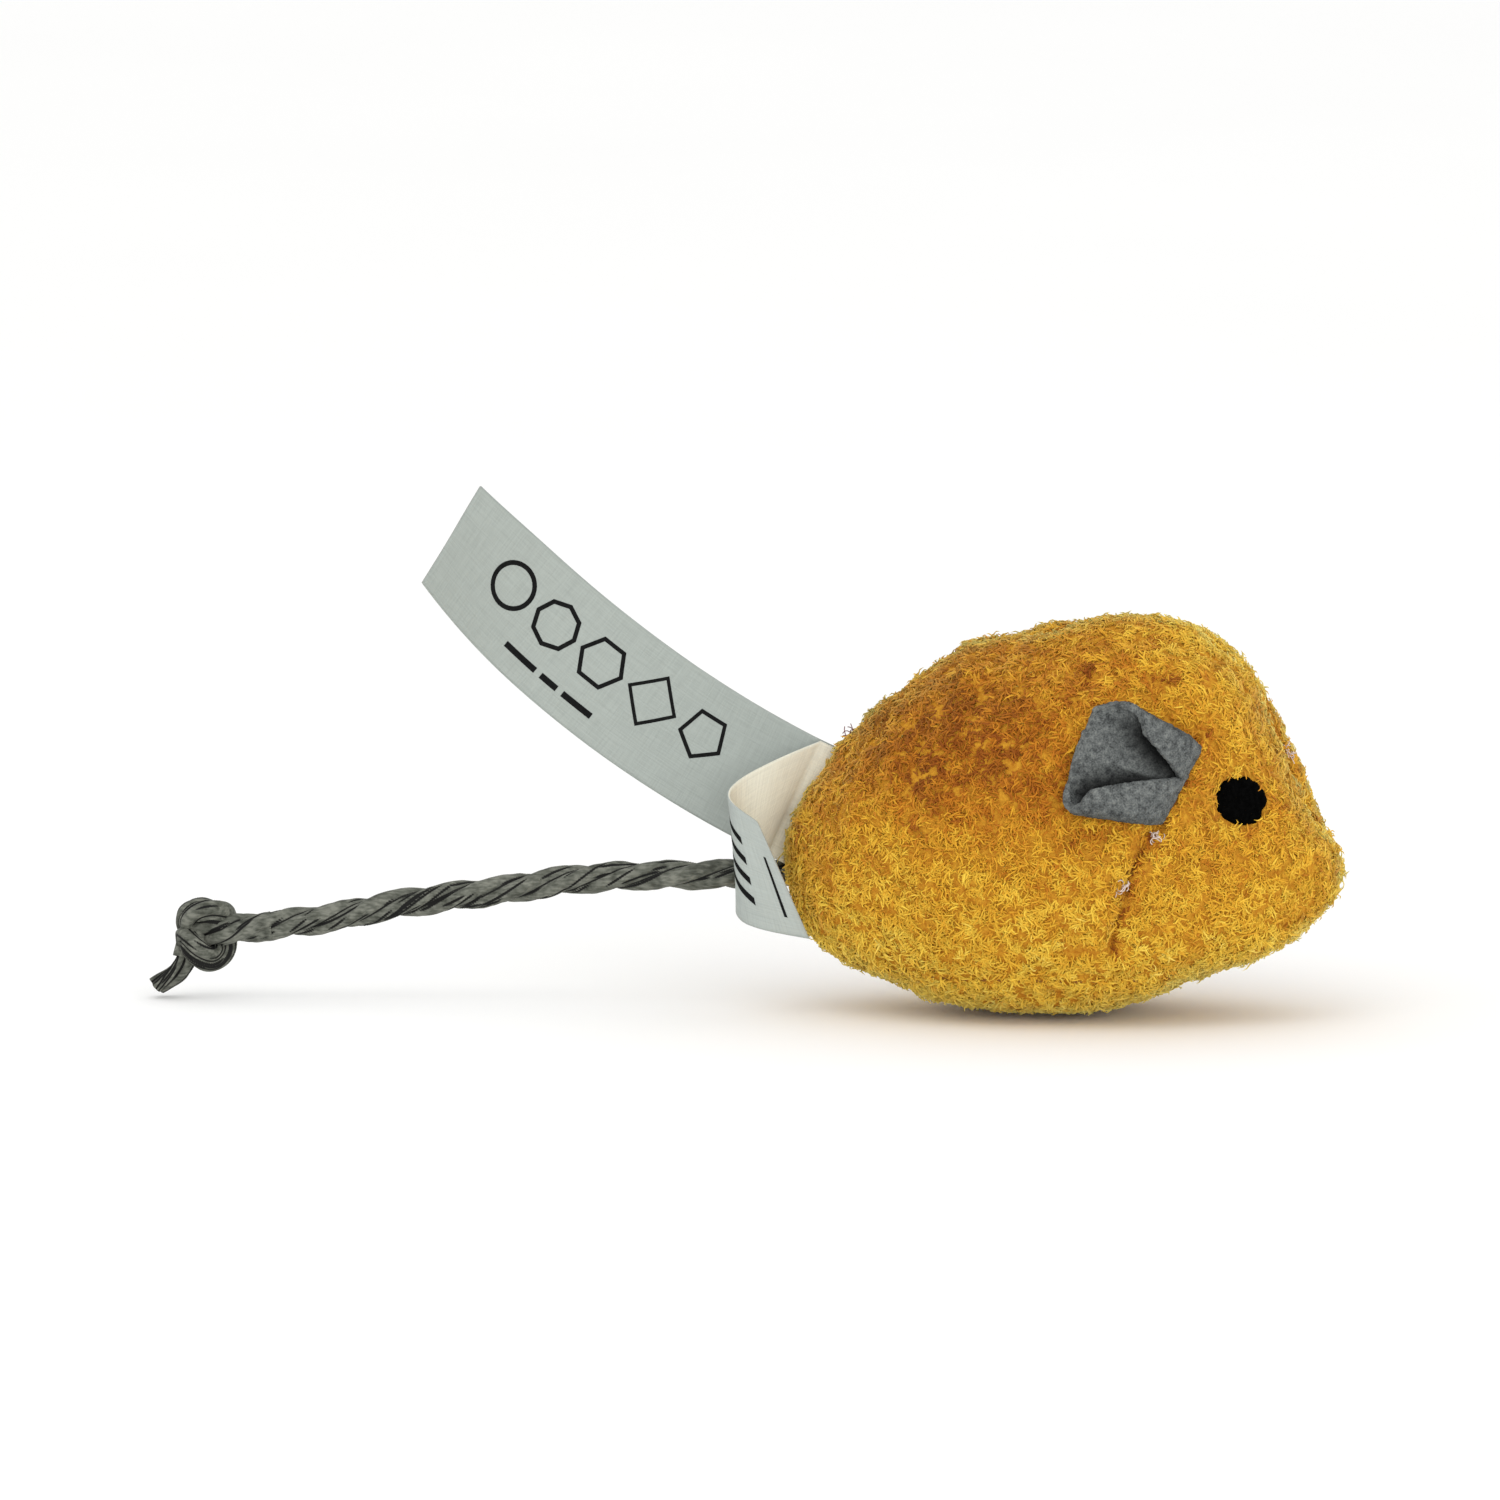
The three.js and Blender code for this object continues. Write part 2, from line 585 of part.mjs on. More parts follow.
function addBody() {
  const aboveFloor = boxBetween(vec(-FAR, -FAR, 0), vec(FAR, FAR, FAR));
  const shell = bodyForm(0).intersect(aboveFloor).subtract(bodyForm(PLUSH_THICK));
  const threadRoom = seamThreads(CLEARANCE);
  const tailRoom = anchorSolid(CLEARANCE);
  const bellyTop = BELLY_SEAM_HEIGHT - SEAM_THREAD_RADIUS - CLEARANCE;
  SIDES.forEach(([name, side]) => {
    const seamEdge = (side * SEAM_GAP) / 2;
    const half = boxBetween(
      vec(-FAR, Math.min(seamEdge, side * FAR), bellyTop + SEAM_GAP),
      vec(FAR, Math.max(seamEdge, side * FAR), FAR),
    );
    const panel = shell.intersect(half).subtract(threadRoom.centre).subtract(threadRoom.belly);
    const seated = panel.subtract(tailRoom).subtract(eyeSolid(side, CLEARANCE));
    addPiece(`${name}_side_panel`, seated, FINISHES.plush);
  });
  const low = boxBetween(vec(-FAR, -FAR, -FAR), vec(FAR, FAR, bellyTop));
  addPiece('belly_panel', shell.intersect(low), FINISHES.plush);
  const threads = seamThreads(0);
  addPiece('centre_seam_thread', threads.centre, FINISHES.thread);
  addPiece('belly_seam_thread', threads.belly, FINISHES.thread);

  const inner = bodyForm(PLUSH_THICK + STUFFING_GAP, STUFFING_RINGS, STUFFING_RINGS);
  const filling = inner.subtract(pouchSolid(CLEARANCE)).subtract(tailRoom);
  const front = boxBetween(vec(-POUCH_BACK + SEAM_GAP / 2, -FAR, -FAR), vec(FAR, FAR, FAR));
  const rear = boxBetween(vec(-FAR, -FAR, -FAR), vec(-POUCH_BACK - SEAM_GAP / 2, FAR, FAR));
  addPiece('stuffing_front', filling.intersect(front), FINISHES.stuffing);
  addPiece('stuffing_rear', filling.intersect(rear), FINISHES.stuffing);
  addPiece('catnip_pouch', pouchSolid(0), FINISHES.pouch);
}

// Ears: rows from the sewn base to the free end, each row the felt's folded middle line

const lerp = THREE.MathUtils.lerp;

function earWidth(share) {
  const base = EAR_BASE_WIDTH * (1 - share) * (1 - 2 * share);
  const middle = EAR_SPREAD * 4 * share * (1 - share);
  return base + middle + EAR_END_WIDTH * share * (2 * share - 1);
}

// Half of a row, from the middle of the back layer outwards: across the back, round the fold, along the flap
function foldedHalf(half, radius, curl, flap) {
  const backSteps = 3;
  const foldSteps = 4;
  const line = [];
  for (let step = 1; step <= backSteps; step += 1) {
    line.push([((half - radius) * step) / backSteps, 0]);
  }
  for (let step = 1; step <= foldSteps; step += 1) {
    const turn = (curl * DEGREE * step) / foldSteps;
    line.push([half - radius + radius * Math.sin(turn), radius * (1 - Math.cos(turn))]);
  }
  const [lastAcross, lastOut] = line.at(-1);
  [0.5, 1].forEach((share) => {
    line.push([
      lastAcross + flap * share * Math.cos(curl * DEGREE),
      lastOut + flap * share * Math.sin(curl * DEGREE),
    ]);
  });
  return line;
}

const foldRadius = (share) => (FELT_THICK + lerp(FOLD_PINCH, FOLD_OPEN, share)) / 2;

function earRow(share) {
  const half = earWidth(share) / 2;
  const radius = foldRadius(share);
  const opening = THREE.MathUtils.smoothstep(share, FOLD_OPENS_AT, 1);
  const baseFlap = (EAR_BASE_WIDTH - FLAP_GAP) / 2 - foldRadius(0);
  const upperFlap = lerp(baseFlap, UPPER_FLAP_END, Math.min(1, share / UPPER_FLAP_ENDS_AT));
  const lowerFlap = lerp(baseFlap, LOWER_FLAP_END, share);
  const upper = foldedHalf(half, radius, lerp(180, UPPER_CURL_END, opening), upperFlap);
  const lower = foldedHalf(half, radius, lerp(180, LOWER_CURL_END, opening), lowerFlap);
  return [...lower.reverse().map(([across, out]) => [-across, out]), [0, 0], ...upper];
}

function earPoint(share, across, out, side) {
  const [x, z] = onDart(across);
  const back = share * EAR_LENGTH * Math.cos(EAR_RISE * DEGREE);
  const up = share * EAR_LENGTH * Math.sin(EAR_RISE * DEGREE);
  const { point, normal } = skinFrame(x - back, z + up, side);
  return point.addScaledVector(normal, CLEARANCE + FELT_THICK / 2 + out);
}

function addEars() {
  SIDES.forEach(([name, side]) => {
    const grid = [];
    for (let step = 0; step <= EAR_STEPS; step += 1) {
      const share = step / EAR_STEPS;
      grid.push(earRow(share).map(([across, out]) => earPoint(share, across, out, side)));
    }
    addPiece(`${name}_ear`, solidOf(thickSheet(grid, FELT_THICK)), FINISHES.felt);
  });
}

// Thread ends: short bars that lie on the pile

function addThreadEnds() {
  const bar = (middle, direction) => threadAlong(
    [-0.5, 0.5].map((share) => middle.clone().addScaledVector(direction, share * TACK_LENGTH)),
    TACK_RADIUS,
    1,
  );
  const spots = [['ear_tack', EAR_TACK_BELOW, 0], ['dart_thread', DART_THREAD_BELOW, DART_THREAD_SHIFT]];
  SIDES.forEach(([name, side]) => {
    spots.forEach(([piece, below, shift]) => {
      const [x, z] = onDart(-EAR_BASE_WIDTH / 2 - below);
      const { point, normal } = skinFrame(x + shift, z, side);
      const along = normal.clone().cross(vec(0, 0, 1)).normalize();
      point.addScaledVector(normal, TACK_RADIUS + CLEARANCE);
      addPiece(`${name}_${piece}`, bar(point, along), FINISHES.thread);
    });
  });
  const seamSpots = [
    ['forehead_thread', BODY_HEIGHT - FOREHEAD_BELOW_TOP, FRONT_TOP],
    ['rump_thread', LABEL_ROOT_UP + TAPE_HALF_RISE + RUMP_THREAD_ABOVE, REAR_TOP],
  ];
  seamSpots.forEach(([piece, height, stretch]) => {
    const { point, out } = seamAt(height, stretch);
    point.addScaledVector(out, TACK_RADIUS + CLEARANCE);
    addPiece(piece, bar(point, vec(0, 1, 0)), FINISHES.thread);
  });
}

// Label tapes, both sewn into the rear seam at one height

function labelRoot(side) {
  const { point, along, out } = seamAt(LABEL_ROOT_UP, REAR_TOP);
  point.addScaledVector(out, CLEARANCE).setY((side * (TAPE_THICK + LABEL_GAP)) / 2);
  return { point, down: along.clone().negate() };
}

function tapeSolid(middles, rulings) {
  const grid = middles.map((middle, i) => [-0.5, 0.5].map(
    (share) => middle.clone().addScaledVector(rulings[i], share * TAPE_WIDTH),
  ));
  return solidOf(thickSheet(grid, TAPE_THICK));
}

function careLabel() {
  const { point, down } = labelRoot(1);
  const middles = [];
  const rulings = [];
  const step = CARE_LENGTH / TAPE_STEPS;
  for (let i = 0; i <= TAPE_STEPS; i += 1) {
    const share = i / TAPE_STEPS;
    const rise = lerp(...CARE_RISE, share) * DEGREE;
    const sway = lerp(...CARE_SWAY, share) * DEGREE;
    const heading = vec(-Math.cos(sway) * Math.cos(rise), Math.sin(sway), Math.cos(sway) * Math.sin(rise));
    const across = down.clone().applyAxisAngle(heading, CARE_TWIST * share * DEGREE);
    across.addScaledVector(heading, -across.dot(heading)).normalize();
    middles.push(point.clone());
    rulings.push(across);
    point.addScaledVector(heading, step);
  }
  return tapeSolid(middles, rulings);
}

function foldLabel() {
  const { point, down } = labelRoot(-1);
  const along = ([reach, depth, drop]) => point.clone().add(
    vec(-reach * FOLD_REACH, -depth * FOLD_DEPTH, -drop * FOLD_DROP),
  );
  const free = along([1, 1, 1]).add(vec(FOLD_RETURN, 0, 0));
  const route = new THREE.CatmullRomCurve3([point, ...FOLD_ROUTE.map(along), free]);
  const lean = FOLD_END_LEAN * DEGREE;
  const rulingStops = [down, vec(0, 0, -1), vec(Math.sin(lean), 0, -Math.cos(lean))];
  const middles = [];
  const rulings = [];
  for (let i = 0; i <= TAPE_STEPS; i += 1) {
    const share = i / TAPE_STEPS;
    const [from, to] = share < 0.5 ? [0, 1] : [1, 2];
    middles.push(route.getPointAt(share));
    rulings.push(rulingStops[from].clone().lerp(rulingStops[to], 2 * share - from).normalize());
  }
  return tapeSolid(middles, rulings);
}

addBody();
addEars();
addEyes();
addThreadEnds();
addTail();
addPiece('care_label', careLabel(), FINISHES.tape);
addPiece('fold_label', foldLabel(), FINISHES.tape);

export default root;
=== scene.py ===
# %% [markdown]
# # A catnip mouse in plush, felt and paper cord
# The toy is a palm-sized mouse: three plush panels sewn round fibre wads and a catnip pouch, folded felt
# ears, black pads for eyes, a knotted tail of twisted paper cord, and two label tapes caught in the rear
# seam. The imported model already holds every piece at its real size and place. This lesson loads it as a
# fixed frame and gives each piece its real surface.

# %% Load the frame
import json
import math

import bmesh
import bpy
import numpy as np
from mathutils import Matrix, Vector
from mathutils.bvhtree import BVHTree
from mathutils.kdtree import KDTree


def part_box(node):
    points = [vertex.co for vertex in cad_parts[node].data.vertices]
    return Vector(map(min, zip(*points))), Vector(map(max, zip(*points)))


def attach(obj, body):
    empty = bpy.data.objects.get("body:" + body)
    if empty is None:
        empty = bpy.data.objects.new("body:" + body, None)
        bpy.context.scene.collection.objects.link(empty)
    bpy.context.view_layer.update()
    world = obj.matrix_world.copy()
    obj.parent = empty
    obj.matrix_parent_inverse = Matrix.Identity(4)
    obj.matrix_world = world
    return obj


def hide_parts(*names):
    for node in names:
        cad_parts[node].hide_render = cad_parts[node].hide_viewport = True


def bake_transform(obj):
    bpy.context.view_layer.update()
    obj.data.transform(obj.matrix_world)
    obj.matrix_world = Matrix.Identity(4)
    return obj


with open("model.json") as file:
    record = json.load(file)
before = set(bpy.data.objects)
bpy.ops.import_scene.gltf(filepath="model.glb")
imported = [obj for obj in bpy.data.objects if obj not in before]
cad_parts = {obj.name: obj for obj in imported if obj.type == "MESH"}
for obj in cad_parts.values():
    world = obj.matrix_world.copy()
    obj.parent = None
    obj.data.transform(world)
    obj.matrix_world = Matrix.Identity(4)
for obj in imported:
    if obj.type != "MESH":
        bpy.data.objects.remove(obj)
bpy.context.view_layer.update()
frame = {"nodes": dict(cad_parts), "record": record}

MM = 0.001
joint_rows = {row["name"]: row for row in frame["record"]["behaviour"]["joints"]}

# %% [markdown]
# ## Camera
# The toy is seen side-on with its nose to the right, from slightly in front and slightly above. A long lens
# keeps near and far pieces at one scale, as in a product picture. The picture's width at the toy
# and the point in its middle fix where the camera stands, so nothing has to be nudged by eye.

# %% Camera
AZIMUTH = math.radians(7)
ELEVATION = math.radians(8)
PICTURE_WIDTH = 187.5  # mm across the picture, at the toy
AIM = Vector((-37.8, 0, 32.2))
LENS = 800
SENSOR = 36


def seen_from(azimuth, elevation):
    """The direction from the toy to an observer."""
    level = math.cos(elevation)
    return Vector((math.sin(azimuth) * level, -math.cos(azimuth) * level, math.sin(elevation)))


scene = bpy.context.scene
camera = bpy.data.objects.new("camera", bpy.data.cameras.new("camera"))
camera.data.lens = LENS
camera.data.sensor_width = SENSOR
camera_way = seen_from(AZIMUTH, ELEVATION)
camera.location = (AIM + camera_way * PICTURE_WIDTH * LENS / SENSOR) * MM
camera.rotation_euler = camera_way.to_track_quat("Z", "Y").to_euler()
scene.collection.objects.link(camera)
scene.camera = camera
print("camera stands", round((camera.location - AIM * MM).length, 3), "m away")

# %% [markdown]
# ## Light and floor
# A small product is usually shot in a white tent: light comes from everywhere, and a lamp or two give the
# pile its direction. The same is built here from a white surround and two soft panels, a strong one in front
# and a weak one above, over a pale floor.

# %% Light and floor
SURROUND = 1.0
TOY_MIDDLE = Vector((-10, 0, 24))
PANEL_AWAY = 0.8  # metres, as the three below
PANEL_SIZE = 0.5
FLOOR_HALF = 2.0
FLOOR_DROP = 0.0001

scene.view_settings.view_transform = "Standard"
world = bpy.data.worlds.new("tent")
world.use_nodes = True
world.node_tree.nodes["Background"].inputs["Color"].default_value = (1, 1, 1, 1)
world.node_tree.nodes["Background"].inputs["Strength"].default_value = SURROUND
scene.world = world


def add_panel(name, azimuth, elevation, power):
    """A soft square lamp that looks at the toy, from angles in degrees."""
    lamp = bpy.data.lights.new(name, "AREA")
    lamp.size = PANEL_SIZE
    lamp.energy = power
    panel = bpy.data.objects.new(name, lamp)
    way = seen_from(math.radians(azimuth), math.radians(elevation))
    panel.location = TOY_MIDDLE * MM + way * PANEL_AWAY
    panel.rotation_euler = way.to_track_quat("Z", "Y").to_euler()
    scene.collection.objects.link(panel)


add_panel("top_panel", azimuth=-20, elevation=60, power=0.6)
add_panel("front_panel", azimuth=25, elevation=4, power=2.7)

floor_mesh = bpy.data.meshes.new("floor")
floor_ways = [(-1, -1), (1, -1), (1, 1), (-1, 1)]
floor_corners = [(x * FLOOR_HALF, y * FLOOR_HALF, -FLOOR_DROP) for x, y in floor_ways]
floor_mesh.from_pydata(floor_corners, [], [(0, 1, 2, 3)])
floor = bpy.data.objects.new("floor", floor_mesh)
scene.collection.objects.link(floor)

# %% [markdown]
# ## Helpers for materials
# Every finish below is made of nodes, with no pictures. A few helpers keep those trees short: they turn an
# everyday 0 to 255 colour into Blender's linear one, add a node with its settings, and make the ramps,
# noises, mixes and bumps that most finishes share. Numbers that are the same all over a surface go straight
# onto the shader's own sockets.

# %% Material helpers


def colour(red, green, blue):
    """An sRGB colour of 0 to 255 as linear RGBA."""
    shares = [value / 255 for value in (red, green, blue)]
    linear = [s / 12.92 if s <= 0.04045 else ((s + 0.055) / 1.055) ** 2.4 for s in shares]
    return (*linear, 1.0)


def add_node(tree, kind, inputs=None, **settings):
    """A node with its settings; an input, by name or number, is a value or a socket."""
    made = tree.nodes.new(kind)
    for name, value in settings.items():
        setattr(made, name, value)
    for name, value in (inputs or {}).items():
        if isinstance(value, bpy.types.NodeSocket):
            tree.links.new(value, made.inputs[name])
        else:
            made.inputs[name].default_value = value
    return made


def add_ramp(tree, factor, stops):
    """A colour ramp over the factor; stops are (place, colour)."""
    made = add_node(tree, "ShaderNodeValToRGB", {"Fac": factor})
    elements = made.color_ramp.elements
    while len(elements) < len(stops):
        elements.new(1.0)
    for element, (place, shade) in zip(elements, stops):
        element.position = place
        element.color = shade
    return made.outputs["Color"]


def new_finish(name, roughness, gloss):
    """A material, its tree and its shader."""
    material = bpy.data.materials.new(name)
    material.use_nodes = True
    tree = material.node_tree
    shader = tree.nodes["Principled BSDF"]
    shader.inputs["Roughness"].default_value = roughness
    shader.inputs["Specular IOR Level"].default_value = gloss
    return material, tree, shader


def noise_of(tree, grain, detail=3.0, stretch=None):
    """Noise in the piece's own space, with a grain in mm; a stretch below 1 draws it out on that axis."""
    place = add_node(tree, "ShaderNodeTexCoord").outputs["Object"]
    if stretch is not None:
        place = add_node(tree, "ShaderNodeMapping", {"Vector": place, "Scale": stretch}).outputs["Vector"]
    inputs = {"Vector": place, "Scale": 1 / (grain * MM), "Detail": detail}
    return add_node(tree, "ShaderNodeTexNoise", inputs).outputs["Fac"]


def mean_of(tree, first, second):
    """The mean of two values of a tree."""
    total = add_node(tree, "ShaderNodeMath", {0: first, 1: second}, operation="ADD").outputs[0]
    return add_node(tree, "ShaderNodeMath", {0: total, 1: 0.5}, operation="MULTIPLY").outputs[0]


def mixed(tree, factor, first, second, how="MIX"):
    """Two colours, mixed or multiplied."""
    inputs = {"Factor": factor, "A": first, "B": second}
    return add_node(tree, "ShaderNodeMix", inputs, data_type="RGBA", blend_type=how).outputs["Result"]


def kept_at_points(tree, name, kind="Fac"):
    """What a mesh keeps at each of its points under a name."""
    return add_node(tree, "ShaderNodeAttribute", attribute_name=name).outputs[kind]


def add_bump(tree, shader, height, depth):
    """Bumps of a depth in mm."""
    inputs = {"Height": height, "Distance": depth * MM, "Strength": 1.0}
    bump = add_node(tree, "ShaderNodeBump", inputs)
    tree.links.new(bump.outputs["Normal"], shader.inputs["Normal"])


def grained_finish(name, roughness, gloss, grain, stops, detail=3.0):
    """A finish whose colour wanders over the stops of a ramp, with a grain in mm."""
    material, tree, shader = new_finish(name, roughness, gloss)
    shade = add_ramp(tree, noise_of(tree, grain, detail), stops)
    tree.links.new(shade, shader.inputs["Base Color"])
    return material, tree, shader


floor_stops = [(0, colour(251, 251, 250)), (1, colour(254, 254, 253))]
floor_finish, _, _ = grained_finish("pale_floor", roughness=0.9, gloss=0.5, grain=120, stops=floor_stops)
floor_mesh.materials.append(floor_finish)
print("finishes:", [m.name for m in bpy.data.materials if m.users])

# %% [markdown]
# ## Helpers for pieces
# Large meshes such as a pile of tens of thousands of tufts would be slow to make one face at a time. Here a
# piece is built from whole arrays of points and corners, in millimetres, and then told which body it rides
# on, which finish it has and which solids of the imported model it stands for.

# %% Piece helpers


def make_mesh(name, points, groups):
    """A mesh from points in mm and arrays of faces, each array with faces of one corner count."""
    groups = [np.asarray(group, np.int32) for group in groups if len(group)]
    corners = np.concatenate([group.ravel() for group in groups])
    sizes = np.concatenate([np.full(len(group), group.shape[1]) for group in groups])
    mesh = bpy.data.meshes.new(name)
    mesh.vertices.add(len(points))
    mesh.vertices.foreach_set("co", (np.asarray(points) * MM).astype(np.float32).ravel())
    mesh.loops.add(len(corners))
    mesh.loops.foreach_set("vertex_index", corners)
    mesh.polygons.add(len(sizes))
    mesh.polygons.foreach_set("loop_start", np.concatenate([[0], np.cumsum(sizes)[:-1]]).astype(np.int32))
    mesh.update(calc_edges=True)
    mesh.shade_smooth()
    return mesh


def add_piece(mesh, finish, body=None, nodes=()):
    """Shows a mesh as a piece of the toy."""
    piece = bpy.data.objects.new(mesh.name, mesh)
    scene.collection.objects.link(piece)
    mesh.materials.append(finish)
    if body:
        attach(piece, body)
    if nodes:
        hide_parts(*nodes)
    return piece


def points_of(mesh):
    """A mesh's points in mm."""
    flat = np.empty(len(mesh.vertices) * 3, np.float32)
    mesh.vertices.foreach_get("co", flat)
    return flat.reshape(-1, 3).astype(float) / MM


def normals_of(mesh):
    flat = np.empty(len(mesh.vertices) * 3, np.float32)
    mesh.vertex_normals.foreach_get("vector", flat)
    return flat.reshape(-1, 3).astype(float)


def set_points(mesh, points):
    mesh.vertices.foreach_set("co", (points * MM).astype(np.float32).ravel())
    mesh.update()


def add_values(mesh, name, values):
    """A number at each point, for the material to read."""
    layer = mesh.attributes.new(name, "FLOAT", "POINT")
    layer.data.foreach_set("value", np.asarray(values, np.float32).ravel())


def unit(vectors):
    return vectors / np.maximum(np.linalg.norm(vectors, axis=-1, keepdims=True), 1e-9)


def ripples(points, wavelength, seed, waves=14):
    """Smooth noise of about -1 to 1, from plane waves of random direction."""
    rng = np.random.default_rng(seed)
    ways = unit(rng.normal(size=(waves, 3)))
    lengths = wavelength * rng.uniform(0.7, 1.5, waves)
    phases = rng.uniform(0, 2 * math.pi, waves)
    return np.sin(points @ ways.T * (2 * math.pi / lengths) + phases).sum(axis=1) / math.sqrt(2 * waves)


# %% [markdown]
# ## Tail cord: its route
# The tail is a stiff cord of three twisted paper strands, 3.5 mm thick. It leaves the rear seam, stands out
# almost straight and comes down to its knot near the floor. A cord is a fixed length on one smooth curve,
# so the route comes first: points in millimetres from the place where the cord turns at the seam.

# %% Tail cord route
CORD_DIAMETER = 3.5
SWIVEL = np.array(joint_rows["tail_swing"]["pos_m"]) / MM
ROOT_ROUTE = [[0, 0, 0], [-9.5, -0.5, -0.2], [-16.9, -0.8, -0.4], [-24.4, -1.2, -1], [-31.8, -1.5, -2.2]]
END_ROUTE = [[-39.3, -1.8, -3.3], [-46.6, -2.2, -4.4], [-54, -2.5, -6], [-61.5, -2.8, -7.1]]
KNOT_PLACE = [-70.2, -3.2, -8.3]
INTO_KNOT = [-68.4, -3.1, -8.0]
SPAN_STEPS = 24  # fine steps between two points of a route


def smooth_path(points, step):
    """A curve through the points, cut into even steps, all in mm."""
    knots = np.asarray(points, float)
    spread = np.vstack([2 * knots[0] - knots[1], knots, 2 * knots[-1] - knots[-2]])
    share = np.linspace(0, 1, SPAN_STEPS, endpoint=False)[:, None]
    spans = []
    for a, b, c, d in zip(spread[:-3], spread[1:-2], spread[2:-1], spread[3:]):
        bend = (2 * a - 5 * b + 4 * c - d) * share**2 + (3 * b - a - 3 * c + d) * share**3
        spans.append(b + ((c - a) * share + bend) / 2)
    fine = np.vstack([*spans, knots[-1:]])
    along = length_along(fine)
    even = np.linspace(0, along[-1], max(3, round(along[-1] / step) + 1))
    return np.column_stack([np.interp(even, along, fine[:, axis]) for axis in range(3)])


def length_along(path):
    return np.concatenate([[0], np.cumsum(np.linalg.norm(np.diff(path, axis=0), axis=1))])


tail_path = smooth_path(np.array([*ROOT_ROUTE, *END_ROUTE, INTO_KNOT]) + SWIVEL, step=0.3)

# %% [markdown]
# ## Tubes
# The cord, the thread ends and the stitches are all tubes along a path. A curve with a round bevel is the
# usual way, but its section can't change from step to step. Here each step of the path gets a ring of points
# with a radius for every turn, and the rings turn as little as possible from one step to the next.

# %% Tubes


def frames_along(path):
    """Two directions across a path at each point, turning as little as possible."""
    tangents = unit(np.gradient(path, axis=0))
    sides = np.empty_like(path)
    start = np.cross(tangents[0], [0.1, 0.2, 1.0])
    for i, tangent in enumerate(tangents):
        start = unit(start - tangent * (start @ tangent))
        sides[i] = start
    return sides, np.cross(tangents, sides)


def ring_faces(rings, count):
    """Faces of a stack of rings of count points, closed at each end by a middle point listed after them."""
    ring = np.arange(count)
    ahead = (ring + 1) % count
    starts = np.arange(rings - 1)[:, None] * count
    first, after = (starts + ring).ravel(), (starts + ahead).ravel()
    quads = np.column_stack([first, after, after + count, first + count])
    last = (rings - 1) * count
    middles = np.full(count, rings * count)
    start_cap = np.column_stack([middles, ahead, ring])
    end_cap = np.column_stack([middles + 1, last + ring, last + ahead])
    return [quads, start_cap, end_cap]


def tube_arrays(path, radii, flatten=1.0):
    """Points and faces of a closed tube, with a radius at each step and turn; flatten squeezes one way."""
    steps, count = radii.shape
    sides, others = frames_along(path)
    turns = np.arange(count) / count * 2 * math.pi
    squeeze = np.broadcast_to(np.asarray(flatten, float).reshape(-1, 1), (steps, 1))
    out = sides[:, None] * np.cos(turns)[None, :, None]
    out = out + others[:, None] * (np.sin(turns)[None, :] * squeeze)[..., None]
    points = (path[:, None] + out * radii[..., None]).reshape(-1, 3)
    return np.vstack([points, path[:1], path[-1:]]), ring_faces(steps, count)


print("a tube of two rings of six points has", sum(len(group) for group in ring_faces(2, 6)), "faces")

# %% [markdown]
# ## Tail cord: strands and creases
# Twisted paper is not round yarn: each strand is a crumpled ribbon, with sharp creases that run along it and
# look black. A plain tube with a striped material would lose the bumpy outline. So the section is the
# outline of three circles, it turns once in 20.6 mm, and the creases are cut into it as narrow grooves whose
# depth is kept at each point for the material.

# %% Tail cord strands
STRANDS = 3
STRAND_RADIUS = 1.05
STRAND_OFFSET = 0.88  # from the cord's middle to a strand's middle
LAY_LENGTH = 20.6  # mm of cord in one full turn
CORD_POINTS = 96  # round the section
CREASE_DEPTH = 0.22
CREASE_WIDTH = 0.15
CREASE_LENGTHS = (2.5, 9.0)
CREASE_DRIFT = 0.06  # radians per mm that a crease strays from its strand
CREASE_FADE = 1.2  # mm at each end of a crease
VALLEY_POWER = 7  # how narrow the dark line between two strands is
CRUMPLE_WAVE, CRUMPLE_HEIGHT = 2.2, 0.07  # the paper's small crumples
CRUMPLE_RING = 3.0  # radius of the ring that they are read on
CUT_SHADE = 0.3  # the crease's depth in the middle of a cut end


def fade(distance, width):
    """1 at no distance, and less further off."""
    return np.exp(-((distance / width) ** 2))


def three_strands(turns):
    """The outline of three touching circles, as a radius at each turn."""
    radii = []
    for strand in range(STRANDS):
        swing = turns - strand * 2 * math.pi / STRANDS
        half_chord = np.sqrt(STRAND_RADIUS**2 - (STRAND_OFFSET * np.sin(swing)) ** 2)
        radii.append(STRAND_OFFSET * np.cos(swing) + half_chord)
    return np.max(radii, axis=0)


def crease_field(along, turns, count, seed):
    """Depth, 0 to 1, of creases that run along the strands; along in mm, turns in radians."""
    rng = np.random.default_rng(seed)
    field = np.zeros(np.broadcast(along, turns).shape)
    for _ in range(count):
        length = rng.uniform(*CREASE_LENGTHS)
        begin = rng.uniform(-length / 2, along.max() - length / 2)
        place = rng.uniform(0, 2 * math.pi)
        drift = rng.normal(0, CREASE_DRIFT)
        gap = (turns - place - drift * (along - begin) + math.pi) % (2 * math.pi) - math.pi
        ends = np.clip(np.minimum(along - begin, begin + length - along) / CREASE_FADE, 0, 1)
        field = np.maximum(field, fade(gap * CORD_DIAMETER / 2, CREASE_WIDTH) * ends)
    return field


